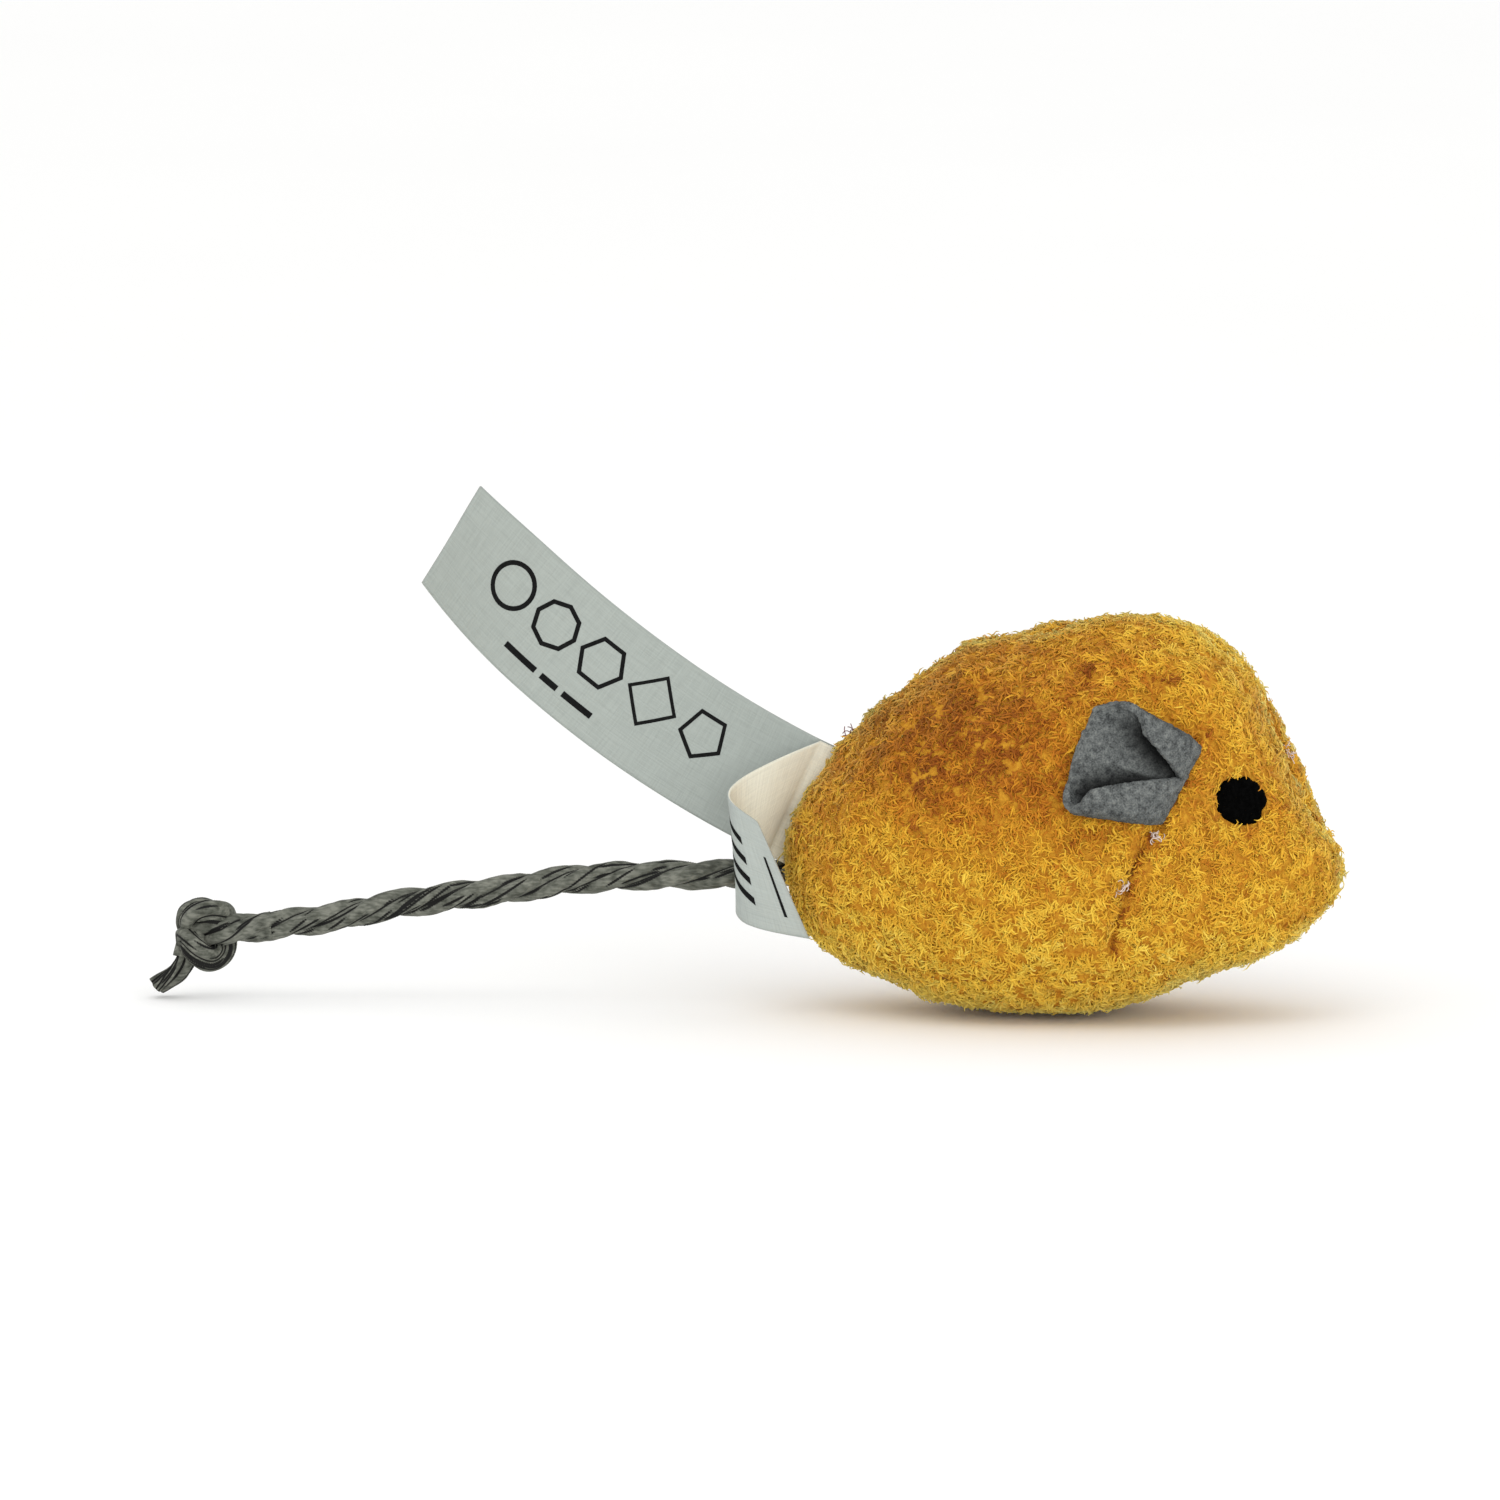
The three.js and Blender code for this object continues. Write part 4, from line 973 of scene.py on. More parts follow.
pile = pile_finish()
under = (roots[:, 2] < BELLY_SEAM) & (ways[:, 2] < UNDER_SLOPE)
bands = np.digitize(roots[:, 0], np.quantile(roots[:, 0], (0.25, 0.5, 0.75)))
ahead_of_middle = roots[:, 0] > np.median(roots[under, 0])
pile_parts = {"belly_front_pile": under & ahead_of_middle, "belly_rear_pile": under & ~ahead_of_middle}
for side_name, on_side in (("right", roots[:, 1] < 0), ("left", roots[:, 1] >= 0)):
    for band, band_name in enumerate(("rump", "flank", "shoulder", "face")):
        pile_parts[f"{side_name}_{band_name}_pile"] = ~under & on_side & (bands == band)
for name, mask in pile_parts.items():
    shape = [values[mask] for values in (roots, ways, flows, lengths, leans, curls, swirls)]
    quads, tips = tuft_faces(mask.sum())
    mesh = make_mesh(name, tuft_points(*shape).reshape(-1, 3), [quads, tips])
    upright = np.repeat(ways[mask], TUFT_POINTS, axis=0)
    soft_ways = unit(upright * SOFT_SHARE + normals_of(mesh) * (1 - SOFT_SHARE))
    mesh.normals_split_custom_set_from_vertices(soft_ways)
    strips = mesh.uv_layers.new(name="OFBake")
    strips.data.foreach_set("uv", tuft_strips(tones[mask]).astype(np.float32).ravel())
    add_piece(mesh, pile, "mouse")
    print(name, mask.sum(), "tufts")

# %% [markdown]
# ## Eyes
# Each eye is a small thick felt pad, and its cut rim is ragged among the tufts. A flat black disc would float
# over the pile, so the pad starts on the backing and domes up to just under the tips of the tufts around it.

# %% Eyes
EYE_HALF_LONG = 3.5
EYE_HALF_TALL = 3.05
EYE_RISE = 1.5
EYE_SINK = 0.3
EYE_POINTS = 64
EYE_RINGS = [  # shares of the half size and of the rise, from the middle out
    (0.25, 1.0), (0.5, 0.97), (0.72, 0.9), (0.88, 0.76), (0.98, 0.5), (1.0, 0.1), (0.97, -0.25),
]
RAGGED_RIM = ((3.4, 0.08, 81), (0.9, 0.05, 82))  # wavelength, share of the size and seed
RAGGED_RING = 3.0  # radius of the ring that they are read on
PAD_NAP = ((0.9, 0.06, 83),)  # wavelength, height and seed

black, black_tree, black_shader = grained_finish(
    "black_pad", roughness=0.95, gloss=0.03, grain=0.5,
    stops=[(0.35, colour(1, 1, 1)), (0.8, colour(7, 7, 7))],
)
add_bump(black_tree, black_shader, noise_of(black_tree, grain=0.25), depth=0.12)
turns = np.arange(EYE_POINTS) / EYE_POINTS * 2 * math.pi
circle = np.column_stack([np.cos(turns), np.sin(turns), np.zeros(EYE_POINTS)])
ragged = 1 + layered_ripples(circle * RAGGED_RING, RAGGED_RIM)[:, None]
for eye_name, (place, out) in eye_spots.items():
    forward = unit(np.array([1.0, 0, 0]) - out * out[0])
    upward = np.cross(forward, out) * (1 if np.cross(forward, out)[2] > 0 else -1)
    rim = circle[:, :1] * forward * EYE_HALF_LONG + circle[:, 1:2] * upward * EYE_HALF_TALL
    rings = [place + rim * ragged * share + out * (rise * EYE_RISE) for share, rise in EYE_RINGS]
    points = np.vstack([*rings, place + out * EYE_RISE, place - out * EYE_SINK])
    points += out * layered_ripples(points, PAD_NAP)[:, None]
    faces = ring_faces(len(EYE_RINGS), EYE_POINTS)
    if np.cross(forward, upward) @ out > 0:
        faces = [group[:, ::-1] for group in faces]
    pad = make_mesh(eye_name + "_eye_pad", points, faces)
    add_piece(pad, black, "mouse", [eye_name + "_eye"])
print("eye pads:", 2 * EYE_HALF_LONG, "by", 2 * EYE_HALF_TALL, "mm")

# %% [markdown]
# ## Ears: the bed that they lie on
# Each ear is one piece of felt whose base is sewn into the dart, and whose two sides fold over towards the
# middle. It lies on the side of the head, which is curved. A smooth bed is fitted to that curve first, so
# that the felt isn't bent by every lump of the backing.

# %% Ears: bed
EAR_STAND_OFF = 1.6  # middle of the felt's back layer, over the backing
BASE_TOP, BASE_FOOT = np.array([20.2, 35.4]), np.array([15.8, 26.8])  # x and z of the sewn edge
END_TOP, END_FOOT = np.array([8.6, 41.0]), np.array([4.4, 28.4])  # and of the free end
BED_LOOKS = 9  # looks at the backing along x, and along z


def ear_bed(side):
    """A function that gives the bed's place and the way out of it, at x and z."""
    low = np.min([BASE_FOOT, END_FOOT, END_TOP], axis=0)
    high = np.max([BASE_TOP, END_TOP], axis=0)
    looks = [np.linspace(start, end, BED_LOOKS) for start, end in zip(low, high)]
    across, up = (values.ravel() for values in np.meshgrid(*looks))
    seen = np.array([on_skin((x, side * SIDE_LOOK, z), (0, -side, 0))[0][1] for x, z in zip(across, up)])

    def terms(x, z):
        return np.stack([np.ones_like(x), x, z, x * x, x * z, z * z], axis=-1)

    fit = np.linalg.lstsq(terms(across, up), seen, rcond=None)[0]

    def bed(x, z):
        slope_x = fit[1] + 2 * fit[3] * x + fit[4] * z
        slope_z = fit[2] + fit[4] * x + 2 * fit[5] * z
        out = unit(np.stack([-slope_x, np.ones_like(x), -slope_z], axis=-1)) * side
        return np.stack([x, terms(x, z) @ fit, z], axis=-1), out

    return bed


print("ear beds: sewn edge", round(float(np.linalg.norm(BASE_TOP - BASE_FOOT)), 1), "mm, free end",
      round(float(np.linalg.norm(END_TOP - END_FOOT)), 1), "mm")

# %% [markdown]
# ## Ears: the folded felt
# A row across the ear runs along the upper flap, round the upper fold, down the back layer, round the lower
# fold and along the lower flap. The flaps meet at the sewn edge and grow narrower towards the free end,
# where the folds open: that leaves the dark pocket between them. Rows from base to free end make a sheet,
# which then gets the felt's thickness.

# %% Ears: folded felt
FELT_THICK = 1.0
UPPER_FLAP = 4.6  # width of the upper flap at the base
LOWER_FLAP = 5.9
FOLD_RADII = (0.5, 1.9)  # of both folds, at the base and at the free end
EAR_ROWS = 60
FLAP_STEPS, FOLD_STEPS, BACK_STEPS = 14, 12, 11  # points in each stretch of half a row
LEAST_CURL = 0.25  # of a half turn, where a flap has run out
FULL_CURL = 1.6  # a flap of so many fold radii makes the whole half turn
LEAST_FLAP = 0.05
COVERING_FLAP = 2.0  # width of a flap that puts its fold in full shadow
FOLD_OPENING = 0.75  # power by which the folds open along the ear
UPPER_ENDS = 0.95  # share of the ear's length where the upper flap has run out
LOWER_TAPER = 0.6
CORNER_ROUND = 1.6  # rounding of the free end's corners
CORNER_FROM = 0.85  # share of the ear's length
END_BULGE = 1.2
SEWN_DEPTH = 1.9  # the sewn edge goes down into the pile
SEWN_SHARE = 0.22  # and has come up at this share of the ear's length
SEWN_POWER = 1.5  # steepest at the sewn edge
POCKET_SHADE = 2.3  # mm over which the back layer brightens, away from a flap's edge


def half_row(flap, radius, reach):
    """Half of a row, from a flap's edge to the middle: distance in from the fold, height and shadow."""
    curl = math.pi * min(1.0, LEAST_CURL + (1 - LEAST_CURL) * flap / (FULL_CURL * radius))
    turns = np.linspace(curl, 0, FOLD_STEPS)
    fold = np.column_stack([radius - radius * np.sin(turns), radius - radius * np.cos(turns)])
    flat = np.linspace(max(flap - radius, LEAST_FLAP), 0, FLAP_STEPS, endpoint=False)[:, None]
    edge = fold[0] + flat * np.array([-math.cos(curl), math.sin(curl)])
    back = np.column_stack([np.linspace(radius, reach, BACK_STEPS + 1)[1:], np.zeros(BACK_STEPS)])
    covered = min(1, flap / COVERING_FLAP)
    fold_shadow = np.linspace(0, 1, FOLD_STEPS) * covered
    back_shadow = covered * fade(np.maximum(back[:, 0] - flap, 0), POCKET_SHADE)
    shadow = np.concatenate([np.zeros(FLAP_STEPS), fold_shadow, back_shadow])
    return np.column_stack([np.vstack([edge, fold, back]), shadow])


def ear_grid(side):
    """The folded felt's middle surface, and how deep in the pocket's shadow each point lies."""
    bed = ear_bed(side)
    rows, shadows = [], []
    for share in np.linspace(0, 1, EAR_ROWS):
        past = max(0.0, (share - CORNER_FROM) / (1 - CORNER_FROM))
        corner = CORNER_ROUND * (1 - math.sqrt(max(0.0, 1 - past**2)))
        top = BASE_TOP + (END_TOP - BASE_TOP) * share
        foot = BASE_FOOT + (END_FOOT - BASE_FOOT) * share
        inward = unit(foot - top)
        width = np.linalg.norm(foot - top) - 2 * corner
        radius = FOLD_RADII[0] + (FOLD_RADII[1] - FOLD_RADII[0]) * share**FOLD_OPENING
        upper = half_row(UPPER_FLAP * max(0.0, 1 - share / UPPER_ENDS), radius, width / 2)
        lower = half_row(LOWER_FLAP * (1 - share) ** LOWER_TAPER, radius, width / 2)
        from_top = np.concatenate([upper[:, 0], width - lower[::-1, 0][1:]]) + corner
        height = np.concatenate([upper[:, 1], lower[::-1, 1][1:]])
        middle = np.clip(from_top / np.linalg.norm(foot - top), 0, 1)
        bulge = END_BULGE * share**2 * 4 * middle * (1 - middle)
        spots = top + inward * from_top[:, None] + unit(END_TOP - BASE_TOP) * bulge[:, None]
        place, out = bed(spots[:, 0], spots[:, 1])
        sunk = SEWN_DEPTH * max(0.0, 1 - share / SEWN_SHARE) ** SEWN_POWER
        rows.append(place + out * (height + EAR_STAND_OFF - sunk)[:, None])
        shadows.append(np.concatenate([upper[:, 2], lower[::-1, 2][1:]]))
    return np.array(rows), np.array(shadows)


def grid_faces(rows, columns):
    """Faces of a grid of points."""
    index = np.arange(rows * columns).reshape(rows, columns)
    return np.stack([index[:-1, :-1], index[1:, :-1], index[1:, 1:], index[:-1, 1:]], axis=-1).reshape(-1, 4)


def thick_sheet(name, grid, thickness):
    """A closed sheet about a grid of points; the face value is 1 on one side and 0 on the other."""
    rows, columns = grid.shape[:2]
    half = sheet_ways(grid) * thickness / 2
    points = np.vstack([(grid + half).reshape(-1, 3), (grid - half).reshape(-1, 3)])
    index = np.arange(rows * columns).reshape(rows, columns)
    top = grid_faces(rows, columns)
    rim = np.concatenate([index[0, :-1], index[:-1, -1], index[-1, :0:-1], index[:0:-1, 0]])
    ahead = np.roll(rim, -1)
    below = rows * columns
    edge = np.column_stack([rim, ahead, ahead + below, rim + below])
    mesh = make_mesh(name, points, [top, top[:, ::-1] + below, edge])
    add_values(mesh, "face", np.repeat([1.0, 0.0], below))
    return mesh


def sheet_ways(grid):
    """The way out of a grid at each point."""
    return unit(np.cross(np.gradient(grid, axis=0), np.gradient(grid, axis=1)))


ear_grids = {"right_ear": ear_grid(-1), "left_ear": [part[:, ::-1] for part in ear_grid(1)]}
print("ear grids:", {name: grid.shape[:2] for name, (grid, _) in ear_grids.items()})

# %% [markdown]
# ## Ears: pieces
# Felt is mottled wool, paler and darker within a millimetre, and its faces and cut edges are never even. The
# points are pushed in and out a little by noise of two sizes.

# %% Ears: pieces
FELT_ROUGH = ((1.3, 0.08, 91), (0.6, 0.05, 92))  # wavelength, height and seed
FELT_WAVES = 30


def felt_finish():
    material, tree, shader = new_finish("grey_felt", roughness=0.95, gloss=0.08)
    wool = mean_of(tree, noise_of(tree, grain=0.9, detail=4.0), noise_of(tree, grain=0.22, detail=5.0))
    shade = add_ramp(tree, wool, [
        (0.36, colour(62, 64, 64)), (0.5, colour(97, 100, 99)), (0.64, colour(126, 129, 126)),
    ])
    pocket = add_ramp(tree, kept_at_points(tree, "shadow"), [(0, (1, 1, 1, 1)), (1, (0.12, 0.12, 0.12, 1))])
    tree.links.new(mixed(tree, 1.0, shade, pocket, "MULTIPLY"), shader.inputs["Base Color"])
    add_bump(tree, shader, noise_of(tree, grain=0.25, detail=5.0), depth=0.25)
    return material


felt = felt_finish()
for ear_name, (grid, shadow) in ear_grids.items():
    mesh = thick_sheet(ear_name + "_felt", grid, FELT_THICK)
    add_values(mesh, "shadow", np.concatenate([shadow.ravel(), shadow.ravel()]))
    mesh = after_modifier(mesh, "SUBSURF", levels=1, render_levels=1)
    mesh.name = ear_name + "_felt"
    points = points_of(mesh)
    rough = layered_ripples(points, FELT_ROUGH, FELT_WAVES)
    set_points(mesh, points + normals_of(mesh) * rough[:, None])
    ear = add_piece(mesh, felt, ear_name + "_flap", [ear_name])

# %% [markdown]
# ## Sewing threads
# Thread ends stick out where the ears are tacked, on the darts, on the forehead and on the rump. They are
# pale, apart from the plum ones on the rump. Each place has some short curls that start on the backing.

# %% Sewing threads
THREAD_RADIUS = 0.06
CURL_LENGTH = 1.5
CURL_STEPS = 6
CURL_START, CURL_SPREAD = 0.3, 0.3  # over the backing, and about the place
CURL_SPLAY = 0.8  # how far the ends point away from the way out
CURL_TURNS = (0.5, 1.2)  # at each step
CURL_SEED = 100
CURL_COUNTS = (15, 12)  # ends on each side, and on the middle line
THREAD_DARKER = 0.7
THREAD_SHIFT = {"dart_thread": np.array([-1.2, 0, -0.8])}  # onto the dart's crease


def thread_finish(name, shade):
    """A thread of one shade, darker in patches."""
    darker = (*(THREAD_DARKER * value for value in shade[:3]), 1)
    stops = [(0.3, darker), (0.7, shade)]
    return grained_finish(name, roughness=0.8, gloss=0.2, grain=0.3, stops=stops)[0]


def tubes_mesh(name, paths, radius, count=8):
    """Several thin round tubes as one mesh."""
    return make_mesh(name, *joined(tube_arrays(path, np.full((len(path), count), radius)) for path in paths))


def curl_paths(root, out, count, seed):
    """Some curling thread ends that leave a point of the backing."""
    rng = np.random.default_rng(seed)
    paths = []
    for _ in range(count):
        heading = unit(out + rng.normal(0, CURL_SPLAY, 3))
        axis = unit(rng.normal(size=3))
        stops = [root + out * CURL_START + rng.normal(0, CURL_SPREAD, 3)]
        for _ in range(CURL_STEPS):
            stops.append(stops[-1] + heading * CURL_LENGTH / CURL_STEPS)
            heading = unit(heading + np.cross(axis, heading) * rng.uniform(*CURL_TURNS))
        paths.append(smooth_path(stops, step=0.15))
    return paths


pale_thread = thread_finish("pale_thread", colour(232, 214, 204))
dark_thread = thread_finish("plum_thread", colour(140, 92, 96))
side_ends = [f"{side}_{end}" for end in ("ear_tack", "dart_thread") for side in ("right", "left")]
thread_ends = [(node, pale_thread, CURL_COUNTS[0]) for node in side_ends]
thread_ends.append(("forehead_thread", pale_thread, CURL_COUNTS[1]))
thread_ends.append(("rump_thread", dark_thread, CURL_COUNTS[1]))
for seed, (node, finish, count) in enumerate(thread_ends, CURL_SEED):
    low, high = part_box(node)
    middle = (np.array(low) + np.array(high)) / 2 / MM + THREAD_SHIFT.get(node.split("_", 1)[1], 0)
    place, out, _, _ = skin_tree.find_nearest(Vector(middle))
    paths = curl_paths(np.array(place), np.array(out), count, seed)
    add_piece(tubes_mesh(node + "_curls", paths, THREAD_RADIUS), finish, "mouse", [node])
print("thread ends:", len(thread_ends))

# %% [markdown]
# ## Seam stitches
# The seams have their stitches too, down in their valleys: a thread that dips in and out of the backing
# every few millimetres. The way of each seam is found by looking at the backing from all round.

# %% Seam stitches
STITCH_LENGTH = 2.4
STITCH_RADIUS = 0.17
STITCH_DIP = 0.2
STITCH_SINK = 0.15  # the thread is drawn into the backing
BODY_CORE = np.array([2.0, 0, 24.0])
LOOK_FROM = 80.0  # mm from the core
CENTRE_LOOKS = range(-38, 214, 4)  # degrees, from the chin over the back to the rear
BELLY_LOOKS = range(0, 361, 6)
EXIT_CLEAR = 3.0  # no stitch nearer to where the cord comes out
BELLY_CLEAR = 1.0  # nor to the belly seam


def stitch_path(stops):
    """A thread that dips in and out along stops on the backing."""
    path = smooth_path(stops, step=0.3)
    dip = np.sin(length_along(path) * 2 * math.pi / STITCH_LENGTH)[:, None] * STITCH_DIP - STITCH_SINK
    return path + dip * unit(path - BODY_CORE)


seam_thread = thread_finish("mustard_thread", colour(150, 98, 40))
centre_stops = []
for angle in np.radians(CENTRE_LOOKS):
    way = np.array([math.cos(angle), 0, math.sin(angle)])
    place, _ = on_skin(BODY_CORE + way * LOOK_FROM, -way)
    if place[2] > BELLY_SEAM + BELLY_CLEAR and np.linalg.norm(place - SWIVEL) > EXIT_CLEAR:
        centre_stops.append(place)
belly_stops = []
for angle in np.radians(BELLY_LOOKS):
    way = np.array([math.cos(angle), math.sin(angle), 0])
    start = BODY_CORE + way * LOOK_FROM
    belly_stops.append(on_skin((start[0], start[1], BELLY_SEAM), -way)[0])
for name, stops in (("centre_seam", centre_stops), ("belly_seam", belly_stops)):
    mesh = tubes_mesh(name + "_stitches", [stitch_path(stops)], STITCH_RADIUS)
    add_piece(mesh, seam_thread, "mouse", [name + "_thread"])
    print(name, "stitches on", round(length_along(np.array(stops))[-1]), "mm of seam")

# %% [markdown]
# ## Filling
# The wads and the pouch can't be seen, but a cut-open copy of the toy would show them. They keep their packed
# shapes, drawn in slightly so that they stay under the backing, with a loose, lumpy surface.

# %% Filling
FILLING_DRAW_IN = 1.9
FILLING_LUMPS = ((4, 0.3, 131),)  # wavelength, height and seed

fibre, _, _ = grained_finish(
    "fibre_wad", roughness=0.95, gloss=0.1, grain=1.5, detail=5.0,
    stops=[(0.35, colour(226, 223, 214)), (0.65, colour(247, 245, 240))],
)
pouch_cloth, _, _ = grained_finish(
    "herb_pouch", roughness=0.95, gloss=0.1, grain=0.7, detail=5.0,
    stops=[(0.35, colour(190, 196, 172)), (0.65, colour(224, 226, 206))],
)
fillings = {
    "stuffing_front": (fibre, "stuffing"),
    "stuffing_rear": (fibre, "stuffing"),
    "catnip_pouch": (pouch_cloth, "pouch"),
}
for node, (finish, slot) in fillings.items():
    mesh = wrapped(node + "_lump", [node], grain=0.9, rounds=2)
    points = points_of(mesh)
    lumps = layered_ripples(points, FILLING_LUMPS) - FILLING_DRAW_IN
    set_points(mesh, points + normals_of(mesh) * lumps[:, None])
    add_piece(mesh, finish, "mouse", [node])
print("filling pieces:", len(fillings))

# %% [markdown]
# ## Label tapes: their bends
# Both tapes are one woven strip, 16 mm wide, with a sewn edge in the rear seam. Tape bends along straight
# lines but doesn't stretch, so each tape is a middle line with a straight ruling across it at every step.
# The long one climbs back and turns; the short one folds round to the right and comes back towards the body.

# %% Label bends
TAPE_WIDTH = 16.0
TAPE_THICK = 0.3
TAPE_COLUMNS = 41
TAPE_STEP = 0.5
TAPE_IN_SEAM = 2.5  # mm of tape hidden in the pile
CARE_LENGTH = 57.0
CARE_RISE = (20, 54)  # degrees, at the seam and at the free end, as the sway below
CARE_SWAY = (28, -28)
CARE_TWIST = 30  # degrees at the free end
FOLD_REACH, FOLD_DEPTH, FOLD_DROP, FOLD_RETURN = 6.8, 8.7, 9.2, 6.6
FOLD_ROUTE = [  # shares of the reach, the depth and the drop
    [0.5, 0.28, 0.28], [0.93, 0.48, 0.55], [0.98, 0.78, 0.7], [0.72, 0.97, 0.82],
]
FOLD_END_LEAN = math.radians(24)

care_root = np.array(joint_rows["care_label_flap"]["pos_m"]) / MM
fold_root = np.array(joint_rows["fold_label_flap"]["pos_m"]) / MM
seam_down = -unit(np.array(joint_rows["care_label_flap"]["axis"], float))


def turned(vector, axis, angle):
    """A vector turned about an axis."""
    along = axis * (axis @ vector)
    return along + (vector - along) * math.cos(angle) + np.cross(axis, vector) * math.sin(angle)


def care_bend():
    """Middle line and rulings of the long tape."""
    steps = round(CARE_LENGTH / TAPE_STEP)
    middles, rulings, place = [], [], care_root.copy()
    for share in np.linspace(0, 1, steps + 1):
        rise = math.radians(CARE_RISE[0] + (CARE_RISE[1] - CARE_RISE[0]) * share)
        sway = math.radians(CARE_SWAY[0] + (CARE_SWAY[1] - CARE_SWAY[0]) * share)
        level = math.cos(sway)
        heading = np.array([-level * math.cos(rise), math.sin(sway), level * math.sin(rise)])
        across = turned(seam_down, heading, math.radians(CARE_TWIST) * share)
        rulings.append(unit(across - heading * (across @ heading)))
        middles.append(place.copy())
        place += heading * TAPE_STEP
    return with_hidden_end(np.array(middles), np.array(rulings))


def fold_bend():
    """Middle line and rulings of the short, folded tape."""
    room = np.array([-FOLD_REACH, -FOLD_DEPTH, -FOLD_DROP])
    stops = [fold_root, *(fold_root + room * shares for shares in np.array(FOLD_ROUTE))]
    middles = smooth_path([*stops, fold_root + room + [FOLD_RETURN, 0, 0]], TAPE_STEP)
    leaning = [math.sin(FOLD_END_LEAN), 0, -math.cos(FOLD_END_LEAN)]
    turns = np.array([seam_down, [0, 0, -1], leaning])  # at the seam, half way and at the free end
    shares = np.linspace(0, 1, len(middles))
    rulings = [np.interp(shares, (0, 0.5, 1), turns[:, axis]) for axis in range(3)]
    return with_hidden_end(middles, unit(np.column_stack(rulings)))


def with_hidden_end(middles, rulings):
    """The same strip, lengthened into the seam."""
    inward = np.cross([0, 1, 0], seam_down)
    extra = round(TAPE_IN_SEAM / TAPE_STEP)
    hidden = [middles[0] - inward * TAPE_STEP * (extra - i) for i in range(extra)]
    return np.vstack([hidden, middles]), np.vstack([np.repeat(rulings[:1], extra, axis=0), rulings])


care_middles, care_rulings = care_bend()
fold_middles, fold_rulings = fold_bend()
fold_length = length_along(fold_middles)[-1] - TAPE_IN_SEAM
print("tapes:", CARE_LENGTH, "and", round(fold_length, 1), "mm long")

# %% [markdown]
# ## Label tapes: pieces
# Each strip gets a thickness and a slight wave, and its two faces are told apart by a number at each point:
# the outer face of the folded tape is a cool grey, and its inside is warmer. A place along and across the
# tape is kept at each point too, so that the weave's threads follow the strip. The short tape turns as one.

# %% Label pieces
TAPE_WAVE = 13  # mm
CARE_WAVE, FOLD_WAVE = 0.2, 0.12  # heights of the waves
WEAVE_RUNS = ((0.25, 5, 1), (5, 0.25, 1))  # per mm: warp along the tape, weft across it


def tape_surface(middles, rulings, wave, seed):
    """The strip's middle surface as a grid of points."""
    shares = np.linspace(-0.5, 0.5, TAPE_COLUMNS)
    grid = middles[:, None] + rulings[:, None] * (shares * TAPE_WIDTH)[None, :, None]
    bumps = ripples(grid.reshape(-1, 3), TAPE_WAVE, seed).reshape(grid.shape[:2]) * wave
    return grid + sheet_ways(grid) * bumps[..., None]


def tape_mesh(name, grid):
    """A tape's mesh, which knows how far along and across the tape each point lies."""
    mesh = thick_sheet(name, grid, TAPE_THICK)
    along, across = np.meshgrid(
        np.arange(len(grid)) * TAPE_STEP, np.linspace(0, TAPE_WIDTH, TAPE_COLUMNS), indexing="ij"
    )
    places = np.column_stack([along.ravel(), across.ravel(), np.zeros(along.size)])
    layer = mesh.attributes.new("strip", "FLOAT_VECTOR", "POINT")
    layer.data.foreach_set("vector", np.vstack([places, places]).astype(np.float32).ravel())
    return mesh


def tape_finish(name, face_shade, back_shade):
    material, tree, shader = new_finish(name, roughness=0.55, gloss=0.3)
    shade = add_ramp(tree, kept_at_points(tree, "face"), [(0.45, back_shade), (0.55, face_shade)])
    strip = kept_at_points(tree, "strip", "Vector")
    threads = []
    for run in WEAVE_RUNS:
        laid = add_node(tree, "ShaderNodeMapping", {"Vector": strip, "Scale": run}).outputs["Vector"]
        thread = add_node(tree, "ShaderNodeTexNoise", {"Vector": laid, "Scale": 1.0, "Detail": 2.0})
        threads.append(thread.outputs["Fac"])
    woven = mean_of(tree, *threads)
    weave = add_ramp(tree, woven, [(0.36, (0.86, 0.86, 0.86, 1)), (0.6, (1, 1, 1, 1))])
    tree.links.new(mixed(tree, 1.0, shade, weave, "MULTIPLY"), shader.inputs["Base Color"])
    add_bump(tree, shader, woven, depth=0.08)
    return material


care_tape = tape_finish("pale_tape", colour(161, 168, 162), colour(160, 164, 157))
fold_tape = tape_finish("folded_tape", colour(224, 221, 203), colour(170, 177, 172))
care_grid = tape_surface(care_middles, care_rulings, CARE_WAVE, seed=141)
fold_grid = tape_surface(fold_middles, fold_rulings, FOLD_WAVE, seed=142)
care = add_piece(tape_mesh("care_label_tape", care_grid), care_tape, nodes=["care_label"])
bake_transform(care)
fold = add_piece(tape_mesh("fold_label_tape", fold_grid), fold_tape, "fold_tape", ["fold_label"])
print("tape points:", len(care.data.vertices), "and", len(fold.data.vertices))

# %% [markdown]
# ## Label marks
# The tapes are printed with plain shapes and bars. A picture on the tape would be the usual way, but print
# that is a thin mesh stays sharp at any distance. It is laid on the same grid as the tape, so that it bends
# with it. A shape is an outline of even stroke, a strip of faces between an outer and an inner loop, and a
# bar is a filled grid. Both lie a hair's breadth above the weave.

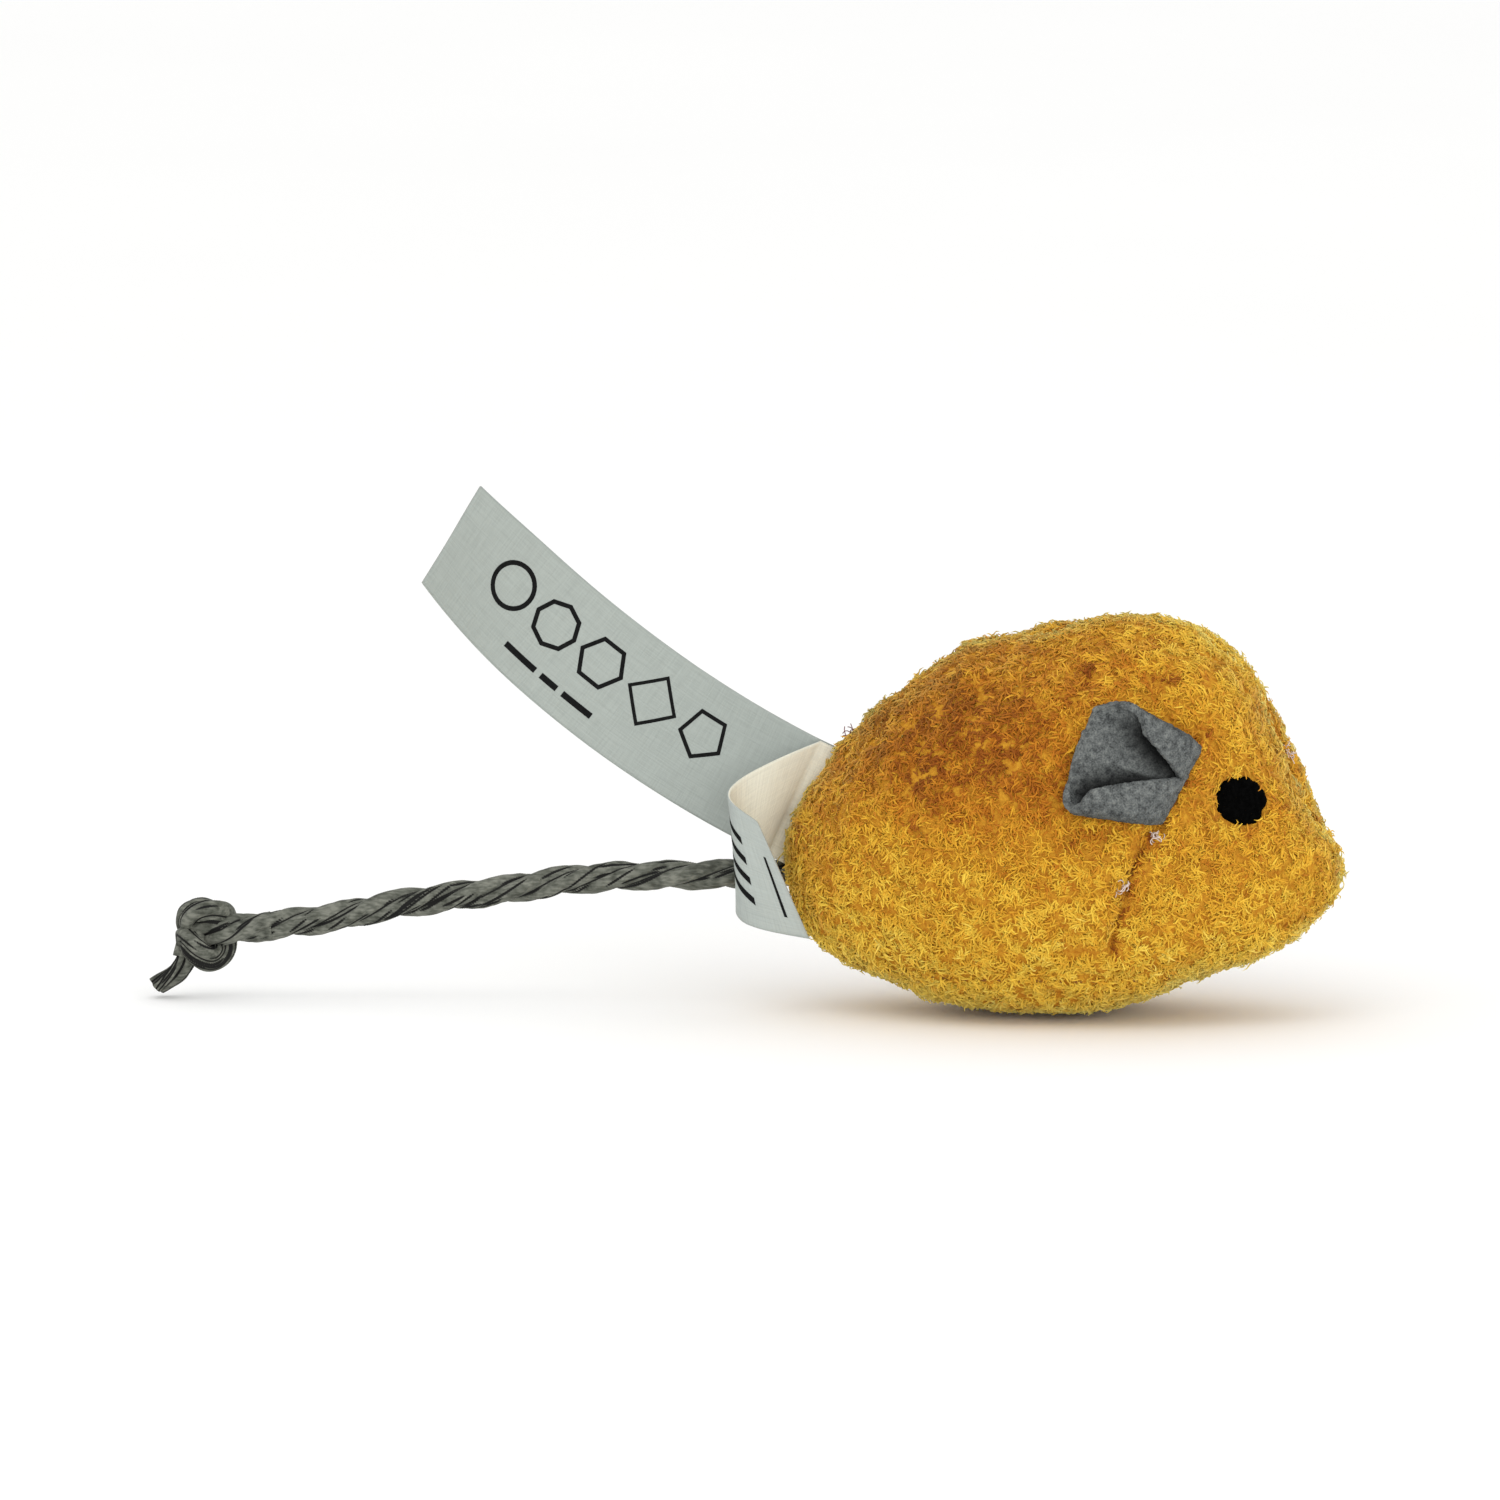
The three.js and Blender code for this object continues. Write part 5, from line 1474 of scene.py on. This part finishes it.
# %% Label marks
MARK_LIFT = TAPE_THICK / 2 + 0.03
MARK_STROKE = 0.62
MARKS = [(15, 5, 3.4), (23, 4, 3.8), (31, 6, 3.4), (38.5, 8, 3.3), (46, 36, 3.2)]  # mm along, corners, radius
MARK_ACROSS = -1.2
BARS = [(28.0, 32.5), (33.4, 36.0), (36.9, 42.0)]  # where each begins and ends along the tape
BAR_ACROSS = 4.9
BAR_HEIGHT = 0.8
STRIPES_ACROSS = (-4.4, -1.8, 0.8, 3.4)  # on the short tape
STRIPE_LENGTH, STRIPE_HEIGHT, STRIPE_SLANT = 3.6, 1.0, 0.6
STRIPES_BACK = 5.0  # from the thin line to the stripes' middles
LINE_IN = 1.6  # from the short tape's end to the thin line
LINE_ACROSS, LINE_LENGTH, LINE_STROKE = 1.5, 8.0, 0.35
MARK_GRAIN = 0.4  # mm between points of a mark


def on_tape(grid, along, across, lift):
    """Points over a tape's face, from mm along it past the seam and mm across it."""
    row = np.clip((along + TAPE_IN_SEAM) / TAPE_STEP, 0, len(grid) - 1.001)
    column = np.clip((across / TAPE_WIDTH + 0.5) * (TAPE_COLUMNS - 1), 0, TAPE_COLUMNS - 1.001)
    i, j = row.astype(int), column.astype(int)
    u, v = (row - i)[..., None], (column - j)[..., None]
    raised = grid + sheet_ways(grid) * lift
    near = raised[i, j] * (1 - v) + raised[i, j + 1] * v
    far = raised[i + 1, j] * (1 - v) + raised[i + 1, j + 1] * v
    return near * (1 - u) + far * u


def outline_mark(along, across, corners, radius):
    """An outline with so many corners, as a flat grid of (along, across)."""
    turn = math.pi / 2 if corners % 2 else 0.0
    angles = np.arange(corners + 1) / corners * 2 * math.pi + turn
    stops = np.column_stack([np.cos(angles), np.sin(angles)])
    steps = max(2, round(2 * math.pi * radius / corners / MARK_GRAIN))
    share = np.linspace(0, 1, steps, endpoint=False)[:, None]
    loop = np.vstack([a + (b - a) * share for a, b in zip(stops[:-1], stops[1:])] + [stops[:1]])
    return np.stack([loop * radius, loop * (radius - MARK_STROKE)], axis=1) + [along, across]


def bar_mark(along, across, length, height, slant=0.0):
    """A filled bar, as a flat grid of (along, across)."""
    ends = [np.linspace(-0.5, 0.5, max(2, round(size / MARK_GRAIN) + 1)) * size for size in (length, height)]
    run, fall = np.meshgrid(*ends, indexing="ij")
    return np.stack([run, fall + slant * run], axis=-1) + [along, across]


def marks_mesh(name, grid, marks, lift):
    """Marks on a tape as one thin mesh."""
    lots = []
    for mark in marks:
        points = on_tape(grid, mark[..., 0].ravel(), mark[..., 1].ravel(), lift)
        lots.append((points, [grid_faces(*mark.shape[:2])]))
    return make_mesh(name, *joined(lots))


care_marks = [outline_mark(along, MARK_ACROSS, corners, radius) for along, corners, radius in MARKS]
care_marks += [bar_mark((begin + end) / 2, BAR_ACROSS, end - begin, BAR_HEIGHT) for begin, end in BARS]
fold_line = fold_length - LINE_IN
fold_marks = [
    bar_mark(fold_line - STRIPES_BACK, across, STRIPE_LENGTH, STRIPE_HEIGHT, STRIPE_SLANT)
    for across in STRIPES_ACROSS
]
fold_marks.append(bar_mark(fold_line, LINE_ACROSS, LINE_STROKE, LINE_LENGTH))

ink_stops = [(0.2, colour(12, 12, 12)), (0.8, colour(26, 27, 27))]
ink, _, _ = grained_finish("dark_print", roughness=0.9, gloss=0.1, grain=0.4, stops=ink_stops)
care_print_mesh = marks_mesh("care_label_marks", care_grid, care_marks, MARK_LIFT)
fold_print_mesh = marks_mesh("fold_label_marks", fold_grid, fold_marks, -MARK_LIFT)
care_print = add_piece(care_print_mesh, ink, "care_tape")
fold_print = add_piece(fold_print_mesh, ink, "fold_tape")
print("marks:", len(care_marks), "and", len(fold_marks))
